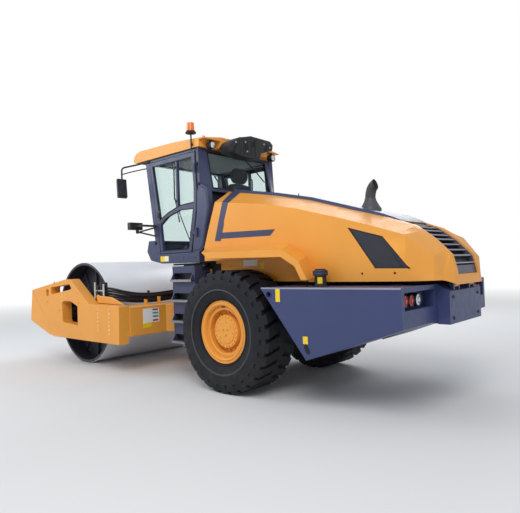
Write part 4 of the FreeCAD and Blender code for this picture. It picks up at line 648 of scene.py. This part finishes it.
for name, side in (("left", 1), ("right", -1)):
    face = side * 0.8
    cover = [(0.626, 2.650), (0.600, 2.574), (0.584, 2.364), (0.655, 2.133), (0.727, 1.834), (0.800, 1.786),
             (0.938, 1.792), (0.934, 1.862), (0.826, 2.300), (0.815, 2.470), (0.806, 2.640), (0.740, 2.700)]
    bulge = [(x * 0.90 + 0.075, z * 0.94 + 0.135) for x, z in cover]
    corners = [(x, face, z) for x, z in cover] + [(x, face + side * 0.014, z) for x, z in bulge]
    count = len(cover)
    faces = [(i, (i + 1) % count, (i + 1) % count + count, i + count) for i in range(count)]
    faces += [tuple(range(count, 2 * count)), tuple(range(count - 1, -1, -1))]
    build("cover_panel_" + name, "rear_frame", slate, (corners, faces), 0.004, 2, 12)
    build("cover_seal_" + name, "rear_frame", seal, strip(
        [(0.958, 1.792), (0.946, 1.858), (0.838, 2.300), (0.822, 2.470), (0.813, 2.700), (0.833, 3.180)], 0.022,
        face, face + side * 0.011), 0.003, 2)
    film("sill_mark_" + name, corners_of(1.495, 1.688, 1.662, 1.742), "XZ", face, yellow, thick=side * 0.0016)
    film("sill_label_" + name, corners_of(1.500, 1.585, 1.668, 1.736), "XZ", face + side * 0.0016, white,
         thick=side * 0.0008)
    build("sill_screws_" + name, "rear_frame", casting, bolts(
        [(x, face, 1.70) for x in (0.90, 1.15, 1.40, 1.80)], "Y", side, 0.008, 0.008))
    build("post_caps_" + name, "rear_frame", seal, bolts(
        [(0.765, face, 2.720), (0.796, face, 3.013), (1.795, face, 1.950)], "Y", side, 0.018, 0.013))
    build("gutter_" + name, "rear_frame", seal, strip(
        [(0.80, 3.228), (1.98, 3.228)], 0.014, face - side * 0.001, face + side * 0.008), 0.003, 2)

# Windows: tinted safety glass held by black rubber, wipers on the front and rear panes.
glass = bpy.data.materials.new("tinted glass")
glass.use_nodes = True
nodes, links = glass.node_tree.nodes, glass.node_tree.links
shader = nodes["Principled BSDF"]
shader.inputs["Transmission Weight"].default_value = 1
shader.inputs["Roughness"].default_value = 0.01
shader.inputs["IOR"].default_value = 1.12
place = nodes.new("ShaderNodeTexCoord")
streaks = nodes.new("ShaderNodeTexNoise")
streaks.inputs["Scale"].default_value = 3
links.new(place.outputs["Object"], streaks.inputs["Vector"])
tint = nodes.new("ShaderNodeMix")
tint.data_type = "RGBA"
tint.inputs["A"].default_value = (0.74, 0.83, 0.82, 1)
tint.inputs["B"].default_value = (0.79, 0.87, 0.86, 1)
links.new(streaks.outputs["Fac"], tint.inputs["Factor"])
links.new(tint.outputs["Result"], shader.inputs["Base Color"])
for node in ("windscreen", "rear_window", "door_glass_left", "door_glass_right"):
    dress(node, glass, 0.001, 1)


def rear_face(z):
    return 0.790 - (3.240 - z) * 0.1985


seal_forms = []
for side in (1, -1):
    y0, y1 = side * 0.608, side * 0.630
    seal_forms.append(slab([(rear_face(2.665) - 0.004, 2.665), (rear_face(3.2) - 0.004, 3.2),
                            (rear_face(3.2) + 0.012, 3.2), (rear_face(2.665) + 0.012, 2.665)], "XZ",
                           min(y0, y1), max(y0, y1)))
for z in (2.668, 3.190):
    seal_forms.append(slab([(rear_face(z) - 0.004, z - 0.010), (rear_face(z) + 0.012, z - 0.010),
                            (rear_face(z) + 0.012, z + 0.010), (rear_face(z) - 0.004, z + 0.010)], "XZ",
                           -0.625, 0.625))
build("rear_window_seal", "rear_frame", seal, joined(*seal_forms), 0.003, 2)


def rod(name, points, radius, body, finish, order=3):
    """A round bar, wire or hose along a smooth line."""
    line = bpy.data.curves.new(name, "CURVE")
    line.dimensions = "3D"
    line.bevel_depth = radius
    line.bevel_resolution = 4
    line.resolution_u = 10
    line.use_fill_caps = True
    spline = line.splines.new("NURBS")
    spline.points.add(len(points) - 1)
    for point, (x, y, z) in zip(spline.points, points):
        point.co = (x + axle_x, y, z, 1)
    spline.order_u = order
    spline.use_endpoint_u = True
    line.materials.append(finish)
    piece = bpy.data.objects.new(name, line)
    bpy.context.scene.collection.objects.link(piece)
    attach(piece, body)
    return piece


rod("rear_wiper_arm", [(0.765, -0.13, 3.185), (0.752, -0.19, 3.135), (0.728, -0.33, 3.030), (0.712, -0.40, 2.965)],
    0.007, "rear_frame", black)
rod("rear_wiper_blade", [(0.738, -0.26, 3.085), (0.712, -0.40, 2.960), (0.692, -0.50, 2.862)], 0.009,
    "rear_frame", seal, 3)
rod("front_wiper_arm", [(1.792, 0.10, 1.955), (1.835, 0.16, 2.150), (1.880, 0.25, 2.440), (1.900, 0.28, 2.58)],
    0.008, "rear_frame", black)
rod("front_wiper_blade", [(1.862, 0.27, 2.300), (1.895, 0.29, 2.520), (1.930, 0.31, 2.76)], 0.010,
    "rear_frame", seal)

# Doors: pressed slate frames with an arched rail, rubber round each pane, a latch, a grab bar and
# strap hinges. They ride on their own bodies.
for name, side in (("left", 1), ("right", -1)):
    body = "door_" + name
    dress("door_" + name, slate, 0.008, 3)
    face = side * 0.8
    build("door_seal_" + name, body, seal, joined(
        strip([(1.687, 1.822), (1.731, 2.211), (1.478, 2.326), (1.195, 2.396), (0.905, 2.391)], 0.012,
              face - side * 0.012, face + side * 0.0025),
        strip([(0.906, 2.391), (1.016, 1.868), (1.042, 1.822), (1.687, 1.822)], 0.012, face - side * 0.012,
              face + side * 0.0025),
        strip([(0.899, 2.478), (1.195, 2.462), (1.478, 2.382), (1.676, 2.290), (1.822, 3.118), (0.920, 3.118)],
              0.016, face - side * 0.012, face + side * 0.0035)), 0.002, 1)
    build("door_latch_" + name, body, black, joined(
        slab([(1.655, 2.335), (1.725, 2.335), (1.725, 2.420), (1.655, 2.450)], "XZ",
             min(face, face + side * 0.016), max(face, face + side * 0.016)),
        slab([(1.668, 2.352), (1.712, 2.352), (1.712, 2.402), (1.668, 2.402)], "XZ",
             min(face + side * 0.016, face + side * 0.026), max(face + side * 0.016, face + side * 0.026))),
        0.005, 3)
    rod("door_bar_" + name, [(1.258, face - side * 0.003, 3.030), (1.258, face + side * 0.038, 3.020),
                             (1.258, face + side * 0.040, 2.960), (1.262, face + side * 0.040, 2.600),
                             (1.262, face + side * 0.038, 2.540), (1.262, face - side * 0.003, 2.530)],
        0.010, body, black)
    build("hinge_screws_" + name, body, casting, bolts(
        [(x, face + side * 0.020, z) for z, foot in ((2.050, 0.935), (2.950, 0.852))
         for x in (foot + 0.012, foot + 0.028)], "Y", side, 0.006, 0.006))
    build("door_stay_" + name, body, black, joined(
        slab([(1.055, 1.832), (1.120, 1.832), (1.105, 1.862), (1.062, 1.862)], "XZ",
             min(face - side * 0.02, face + side * 0.012), max(face - side * 0.02, face + side * 0.012))), 0.004, 2)

# Cab roof: a moulded orange cap with a hollow at each rear corner for a lamp.
dress("cab_roof", orange, 0.025, 4, 14)
build("roof_seal", "rear_frame", seal, slab(
    [(0.80, 3.2335), (2.20, 3.2335), (2.20, 3.2405), (0.80, 3.2405)], "XZ", -0.803, 0.803), 0.002, 1)
build("roof_lift_eye", "rear_frame", cap_metal, turned(
    [(-0.006, 0.020), (0.006, 0.020), (0.006, 0.030), (-0.006, 0.030)], (0.86, 0.60, 3.418), "X", 24))

lining = coat("head lining", (0.42, 0.42, 0.43), (0.36, 0.36, 0.37), 0.85, grain=700, relief=0.4)
build("head_lining", "rear_frame", lining, slab(
    [(0.840, -0.68), (1.900, -0.68), (1.930, -0.60), (1.930, 0.60), (1.900, 0.68), (0.840, 0.68)], "XY", 3.190,
    3.202), 0.005, 2)

# Seat: a sprung driver's seat with stitched dark cloth pads on a console, and a rounded head rest.
# The two consoles and the steering column beside it are black moulded plastic.
cloth = coat("seat cloth", (0.040, 0.042, 0.048), (0.060, 0.062, 0.070), 0.85, grain=900, relief=0.6)
plastic = coat("black plastic", (0.022, 0.022, 0.025), (0.030, 0.030, 0.033), 0.5, grain=200, relief=0.04)
seat_low, seat_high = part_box("seat")
seat_y = (seat_low[1] + seat_high[1]) / 2


def cushion(name, size, crown, seams, place, lean):
    """A crowned pad whose sides pull in between its corners, with sewn channels across it."""
    shape = bmesh.new()
    bmesh.ops.create_cube(shape, size=2)
    bmesh.ops.subdivide_edges(shape, edges=shape.edges, cuts=14, use_grid_fill=True)
    turn_back = Matrix.Rotation(math.radians(lean), 4, "Y")
    for corner in shape.verts:
        u, v, w = corner.co
        full = (1 - abs(u) ** 4) * (1 - abs(v) ** 4)
        across = 1 - 0.10 * (1 - v * v) * (abs(u) > 0.99) - 0.05 * abs(w) ** 2
        along = 1 - 0.10 * (1 - u * u) * (abs(v) > 0.99) - 0.05 * abs(w) ** 2
        thick = 1 - crown + crown * full ** 0.5
        for seam in seams:
            thick -= 0.16 * math.exp(-((u - seam) / 0.055) ** 2) * (abs(v) < 0.93)
        spot = Vector((u * size[0] / 2 * across, v * size[1] / 2 * along, w * size[2] / 2 * thick))
        corner.co = turn_back @ spot + Vector((place[0] + axle_x, place[1], place[2]))
    bmesh.ops.recalc_face_normals(shape, faces=shape.faces)
    mesh = bpy.data.meshes.new(name)
    shape.to_mesh(mesh)
    shape.free()
    mesh.shade_smooth()
    mesh.materials.append(cloth)
    piece = bpy.data.objects.new(name, mesh)
    bpy.context.scene.collection.objects.link(piece)
    round_off = piece.modifiers.new("soft", "SUBSURF")
    round_off.levels = 1
    round_off.render_levels = 1
    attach(piece, "rear_frame")
    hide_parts("seat")
    return piece


cushion("seat_pad", (0.47, 0.47, 0.13), 0.35, (-0.35, 0.35), (1.24, seat_y, 2.255), 0)
cushion("seat_back", (0.14, 0.45, 0.54), 0.30, (), (1.02, seat_y, 2.575), -8)
cushion("seat_head", (0.095, 0.31, 0.24), 0.55, (), (0.972, seat_y, 2.965), -8)
build("seat_shell", "rear_frame", plastic, joined(
    slab([(1.00, 2.195), (1.48, 2.195), (1.46, 2.212), (1.01, 2.212)], "XZ", seat_y - 0.215, seat_y + 0.215),
    slab([(0.975, 2.32), (0.990, 2.32), (0.950, 2.82), (0.932, 2.82)], "XZ", seat_y - 0.19, seat_y + 0.19),
    slab([(0.955, 2.82), (0.966, 2.82), (0.964, 2.90), (0.953, 2.90)], "XZ", seat_y - 0.06, seat_y - 0.04),
    slab([(0.955, 2.82), (0.966, 2.82), (0.964, 2.90), (0.953, 2.90)], "XZ", seat_y + 0.04, seat_y + 0.06)),
    0.004, 2)
for side in (1, -1):
    label = "left" if side > 0 else "right"
    build("arm_rest_" + label, "rear_frame", plastic, slab(
        [(1.02, 2.395), (1.34, 2.395), (1.36, 2.415), (1.34, 2.445), (1.03, 2.445), (1.01, 2.42)], "XZ",
        min(seat_y + side * 0.245, seat_y + side * 0.31), max(seat_y + side * 0.245, seat_y + side * 0.31)),
        0.010, 3)
for node in ("cab_console", "steering_wheel"):
    dress(node, plastic, 0.008, 3)
build("dash_screen", "rear_frame", glass, slab(
    [(1.700, 2.44), (1.712, 2.44), (1.722, 2.58), (1.710, 2.58)], "XZ", seat_y - 0.10, seat_y + 0.10), 0.004, 2)

# Ladders: folded slate boxes under the doors, with toe holes and worn bright tread lips.
dress("ladders", slate, 0.003)
worn_steel = coat("worn tread steel", (0.34, 0.34, 0.36), (0.22, 0.22, 0.25), 0.4, metal=0.6, grain=160,
                  relief=0.5)
for name, side in (("left", 1), ("right", -1)):
    lips = []
    tread_low, tread_high = sorted((side * 0.884, side * 0.937))
    for z in (0.520, 0.810, 1.104, 1.390):
        lips.append(slab(corners_of(tread_low, tread_high, z, z + 0.003), "YZ", 0.86, 1.295))
        lips.append(slab(corners_of(*sorted((side * 0.934, side * 0.939)), z - 0.027, z + 0.003), "YZ",
                         0.846, 1.306))
        for step in range(11):
            x = 0.875 + step * 0.037
            lips.append(slab([(x, z + 0.003), (x + 0.012, z + 0.003), (x + 0.009, z + 0.008),
                              (x + 0.003, z + 0.008)], "XZ", tread_low + 0.004, tread_high - 0.004))
    build("tread_lips_" + name, "rear_frame", worn_steel, joined(*lips))
    build("ladder_screws_" + name, "rear_frame", casting, bolts(
        [(x, side * 0.875, z) for x in (0.857, 1.308) for z in (0.70, 0.99, 1.28, 1.555)], "Y", side, 0.008,
        0.008))
    build("ladder_back_" + name, "rear_frame", black, joined(
        slab(corners_of(0.840, 1.322, 0.500, 1.540), "XZ", *sorted((side * 0.658, side * 0.6645))),
        slab([(0.836, 1.500), (1.316, 1.500), (1.330, 1.598), (1.570, 1.598), (1.570, 1.6245), (0.836, 1.6245)],
             "XZ", *sorted((side * 0.650, side * 0.658)))), 0.001, 1)
    # Black sheets inside the toe holes are painted shade that darkens the holes' insides.
    build("toe_hole_shade_" + name, "rear_frame", black, joined(*[form for z in (
        0.520, 0.810, 1.104, 1.390) for form in (
            slab(corners_of(0.843, 1.309, z - 0.002, z + 0.100), "XZ", *sorted((side * 0.776, side * 0.781))),
            slab(corners_of(1.303, 1.309, z - 0.002, z + 0.100), "XZ", *sorted((side * 0.780, side * 0.864))))]))
    build("bay_screen_" + name, "rear_frame", black, slab(
        [(0.43, 1.250), (0.950, 1.250), (0.950, 1.6245), (0.66, 1.6245), (0.64, 1.590), (0.43, 1.590)], "XZ",
        *sorted((side * 0.552, side * 0.566))), 0.004, 2)
    build("bay_strut_" + name, "rear_frame", orange, slab(
        corners_of(0.800, 0.925, 1.250, 1.530), "XZ", *sorted((side * 0.565, side * 0.580))), 0.003, 2)
    build("cab_mounts_" + name, "rear_frame", black, joined(
        turned([(1.560, 0.0), (1.560, 0.050), (1.572, 0.058), (1.596, 0.046), (1.612, 0.058), (1.6245, 0.050),
                (1.6245, 0.0)], (0.86, side * 0.68, 0), "Z", 32),
        slab(corners_of(0.820, 0.905, 1.530, 1.562), "XZ", *sorted((side * 0.540, side * 0.745)))), 0.003, 2)

# Mirrors, work lamps, beacon and rooftop cooler: bought-in parts in black plastic on the cab.
dress("mirrors", plastic, 0.006, 3)
mirror_face = coat("mirror face", (0.035, 0.037, 0.044), (0.046, 0.048, 0.056), 0.24, 0.3, relief=0.01)
for name, side in (("left", 1), ("right", -1)):
    build("mirror_glass_" + name, "rear_frame", mirror_face, slab(
        [(2.2765, 2.714), (2.2785, 2.714), (2.3005, 2.965), (2.2985, 2.965)], "XZ",
        side * 1.035 - 0.068, side * 1.035 + 0.068))
dress("work_lamps", plastic, 0.004)
for name, side in (("left", 1), ("right", -1)):
    centre = (0.625, side * 0.650, 3.258)
    build("roof_lamp_lens_" + name, "rear_frame", clear_lens, turned(
        [(0.002, 0.0), (0.002, 0.044), (-0.006, 0.043), (-0.012, 0.028), (-0.014, 0.0)], centre, "X", 32))
    build("roof_lamp_bezel_" + name, "rear_frame", plastic, turned(
        [(0.015, 0.043), (-0.008, 0.043), (-0.010, 0.049), (-0.006, 0.054), (0.015, 0.054)], centre, "X", 32))
    build("front_lamp_lens_" + name, "rear_frame", clear_lens, slab(
        corners_of(side * 1.02 - 0.095, side * 1.02 + 0.095, 2.172, 2.258), "YZ", 2.043, 2.050), 0.003, 2)
    for label, post_z in (("upper", 2.190), ("lower", 2.055)):
        rod("lamp_stay_%s_%s" % (label, name), [
            (1.780, side * 0.797, post_z), (1.880, side * 0.895, (post_z + 2.125) / 2), (1.965, side * 0.985, 2.125)],
            0.012, "rear_frame", plastic)
    build("lamp_foot_" + name, "rear_frame", plastic, turned(
        [(2.105, 0.0), (2.105, 0.024), (2.135, 0.026), (2.162, 0.020), (2.162, 0.0)], (1.985, side * 0.995, 0), "Z",
        20))
    rod("mirror_brace_" + name, [(1.985, side * 0.797, 3.120), (2.120, side * 0.880, 3.105),
                                 (2.285, side * 1.035, 3.050)], 0.009, "rear_frame", plastic)
orange_lens = coat("amber lens", (0.78, 0.17, 0.012), (0.85, 0.24, 0.02), 0.18, 0.7, grain=40, relief=0.3)
dress("beacon", plastic, 0.003)
build("beacon_lens", "rear_frame", orange_lens, turned(
    [(3.466, 0.0), (3.466, 0.0585), (3.474, 0.0585), (3.560, 0.0535), (3.5815, 0.0525), (3.587, 0.034),
     (3.5885, 0.0)], (0.865, 0.835, 0), "Z", 40))
build("beacon_skirt", "rear_frame", plastic, turned(
    [(3.436, 0.0), (3.436, 0.074), (3.446, 0.078), (3.452, 0.066), (3.470, 0.058), (3.472, 0.0)],
    (0.865, 0.835, 0), "Z", 40))
rod("beacon_cable", [(0.868, 0.838, 3.43), (0.874, 0.839, 3.34), (0.870, 0.838, 3.26), (0.868, 0.830, 3.215)],
    0.004, "rear_frame", seal)
dress("air_conditioner", plastic, 0.010, 3)
build("cooler_ribs", "rear_frame", plastic, joined(*[slab(
    [(0.412, 3.150), (0.425, 3.145), (0.425, 3.395), (0.412, 3.385)], "XZ", y, y + 0.012)
    for y in (-0.02, 0.06, 0.14, 0.22, 0.30)]), 0.003, 2)
for index, (y0, y1, z_mid) in enumerate(((-0.36, -0.24, 3.36), (-0.14, 0.03, 3.40), (0.10, 0.21, 3.33),
                                         (0.30, 0.44, 3.26))):
    rod("cooler_pipe_%d" % (index + 1), [(0.60, y0, z_mid + 0.02), (0.52, y0, z_mid + 0.045),
                                         (0.43, y0 + 0.03, z_mid + 0.030), (0.409, y1 - 0.02, z_mid - 0.03),
                                         (0.409, y1, z_mid - 0.10)], 0.013,
        "rear_frame", seal)
build("cooler_fittings", "rear_frame", cap_metal, joined(*[turned(
    [(0.424, 0.0), (0.424, 0.014), (0.408, 0.014), (0.403, 0.008), (0.403, 0.0)], (0, y, z), "X", 16)
    for y, z in ((0.40, 3.30), (0.20, 3.33), (0.17, 3.20), (-0.20, 3.36), (-0.33, 3.33))]))

# Steering cylinders: black barrels and chromed rods between the rear frame and the centre joint.
chrome = coat("rod chrome", (0.7, 0.7, 0.72), (0.66, 0.66, 0.68), 0.14, metal=1)
for name, side in (("left", 1), ("right", -1)):
    dress("steering_barrel_" + name, black)
    dress("steering_rod_" + name, chrome)
    rod("cylinder_hose_" + name, [(0.90, side * 0.27, 0.668), (0.93, side * 0.27, 0.70), (1.02, side * 0.25, 0.715),
                                  (1.10, side * 0.24, 0.700)], 0.010, "steering_barrel_" + name,
        seal)

# Front frame: deep orange box plates joined by crossbeams. Bolt rows, blank plates, a lifting hook
# and two hose posts are fixed to them.
# The plate bolts get a lighter orange than the plate: a painted highlight on the bolt heads.
bolt_highlight_orange = coat("orange paint with painted highlight", (0.90, 0.55, 0.20), (0.86, 0.50, 0.17), 0.3, 0.4)
for name, side in (("left", 1), ("right", -1)):
    dress("front_side_plate_" + name, orange, 0.014, 3)
    face = side * 1.395
    build("plate_bolts_" + name, "front_frame", bolt_highlight_orange, bolts(
        [(2.505, face, 0.655 + 0.063 * step) for step in range(6)]
        + [(2.190, face, 0.610 + 0.0605 * step) for step in range(7)], "Y", side, 0.016, 0.011))
    build("plate_plugs_" + name, "front_frame", orange, bolts(
        [(4.17, face, 1.060), (3.755, face, 0.92), (3.90, face, 1.385), (3.10, face, 1.06)], "Y", side, 0.017, 0.007))
    build("lift_hook_" + name, "front_frame", orange, joined(
        slab([(2.760, 1.050), (2.790, 1.165), (2.750, 1.185), (2.700, 1.165), (2.360, 1.150), (2.020, 1.040)],
             "XZ", *sorted((side * 1.225, side * 1.250)))), 0.006, 2)
for node in ("rear_crossbeam", "front_crossbeam"):
    dress(node, orange, 0.010, 3)
build("blank_plate", "front_frame", white, slab(
    corners_of(0.695, 0.988, 0.745, 0.962), "YZ", 1.9145, 1.9175), 0.0008, 1)
build("blank_plate_mark", "front_frame", yellow, slab(
    [(0.992, 0.668), (0.840, 0.680), (0.835, 0.744), (0.990, 0.744)], "YZ", 1.9145, 1.9175), 0.0008, 1)
red_film = coat("red film", (0.45, 0.02, 0.05), (0.40, 0.02, 0.05), 0.45, grain=300, relief=0.03)
green_film = coat("green film", (0.05, 0.32, 0.24), (0.05, 0.28, 0.21), 0.45, grain=300, relief=0.03)
for index, (tint_film, low_z) in enumerate(((red_film, 0.760), (green_film, 0.820), (green_film, 0.872),
                                            (red_film, 0.924))):
    build("blank_plate_row_%d" % (index + 1), "front_frame", tint_film, slab(
        corners_of(0.712, 0.815, low_z, low_z + 0.026), "YZ", 1.9140, 1.9150))
build("beam_seam", "front_frame", orange, joined(
    slab(corners_of(-1.22, 1.22, 0.984, 0.990), "YZ", 1.914, 1.9175),
    slab(corners_of(-1.22, 1.22, 0.580, 0.586), "YZ", 1.914, 1.9175)), 0.0008, 1)
dress("drum_scrapers", black)

# Drum: rolled steel, painted white outside and dark inside, hung in rubber buffers on black discs.
steel = coat("drum paint", (0.80, 0.81, 0.86), (0.74, 0.75, 0.80), 0.34, 0.25, metal=0.1, relief=0.05)
drum_dark = coat("drum end paint", (0.040, 0.043, 0.062), (0.055, 0.056, 0.072), 0.45, 0.1, grain=120,
                 relief=0.2)
dress("drum", steel, 0.006)
dress("drum_mounts", black, 0.005)
for name, side in (("left", 1), ("right", -1)):
    centre = (3.565, 0, 0.855)
    build("drum_end_" + name, "drum", drum_dark, turned([
        (side * 1.0295, 0.852), (side * 1.0320, 0.850), (side * 1.0320, 0.816), (side * 1.0295, 0.8115),
        (side * 0.7625, 0.8115), (side * 0.7625, 0.112), (side * 0.7595, 0.112), (side * 0.7595, 0.8135),
        (side * 1.0285, 0.8135)], centre, "Y", 96))
    build("drum_ribs_" + name, "drum", drum_dark, joined(*[slab(
        [(3.565 + 0.46 * math.cos(a) - 0.012 * math.sin(a), 0.855 + 0.46 * math.sin(a) + 0.012 * math.cos(a)),
         (3.565 + 0.81 * math.cos(a) - 0.012 * math.sin(a), 0.855 + 0.81 * math.sin(a) + 0.012 * math.cos(a)),
         (3.565 + 0.81 * math.cos(a) + 0.012 * math.sin(a), 0.855 + 0.81 * math.sin(a) - 0.012 * math.cos(a)),
         (3.565 + 0.46 * math.cos(a) + 0.012 * math.sin(a), 0.855 + 0.46 * math.sin(a) - 0.012 * math.cos(a))],
        "XZ", *sorted((side * 0.7625, side * 0.80))) for a in [math.radians(30 * k) for k in range(12)]]))
    build("carrier_screws_" + name, "front_frame", casting, bolts(
        circle_of(16, 0.395, (3.565, side * 1.005, 0.855), "Y"), "Y", side, 0.014, 0.016))

# Hoses from the drum's motor to the centre joint: five black rubber lines that sag in a bundle over
# the crossbeam, held by bright posts and clamps.
dress("hose_brackets", black)
rubber_hose = coat("hose rubber", (0.014, 0.014, 0.016), (0.024, 0.024, 0.027), 0.5, 0.15, grain=500, relief=0.25)
for index in range(5):
    aside = -0.024 * (index % 2)
    hose = rod("hose_%d" % (index + 1), [
        (2.7866, 1.150, 1.096 + 0.046 * index), (2.747, 1.150, 1.096 + 0.046 * index),
        (2.690, 1.145, 1.100 + 0.046 * index), (2.580 + aside, 1.080, 1.100 + 0.042 * index),
        (2.500 + aside, 0.900, 1.062 + 0.036 * index), (2.417 + aside, 0.680, 1.036 + 0.032 * index),
        (2.337 + aside, 0.430, 1.033 + 0.031 * index), (2.297 + aside, 0.150, 1.056 + 0.031 * index),
        (2.295 + aside, 0.090, 1.060 + 0.031 * index), (2.295 + aside, 0.055, 1.060 + 0.031 * index)],
        0.0185, "front_frame", rubber_hose)
    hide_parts("hose_bundle")
post_paint = coat("post paint", (0.55, 0.55, 0.53), (0.48, 0.48, 0.47), 0.45, 0.1)
build("hose_posts", "front_frame", post_paint, joined(
    slab(corners_of(2.852, 2.880, 1.120, 1.376), "XZ", 1.216, 1.232),
    slab(corners_of(2.596, 2.626, 1.120, 1.350), "XZ", 1.216, 1.232),
    slab(corners_of(2.596, 2.880, 1.236, 1.252), "XZ", 1.212, 1.2165)), 0.003, 2)
build("hose_clamps", "front_frame", plastic, joined(
    slab(corners_of(2.690, 2.745, 1.060, 1.372), "XZ", 1.100, 1.213),
    slab(corners_of(2.618, 2.668, 1.290, 1.340), "XZ", 1.160, 1.217),
    slab(corners_of(2.345, 2.385, 1.025, 1.215), "XZ", 0.540, 0.575)), 0.010, 3)
build("hose_stays", "front_frame", orange, joined(
    slab([(0.700, 1.000), (0.725, 1.000), (0.725, 1.085), (0.695, 1.075)], "YZ", 2.20, 2.26),
    slab([(0.440, 1.000), (0.465, 1.000), (0.470, 1.110), (0.440, 1.110)], "YZ", 2.20, 2.26)), 0.004, 2)

low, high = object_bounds()
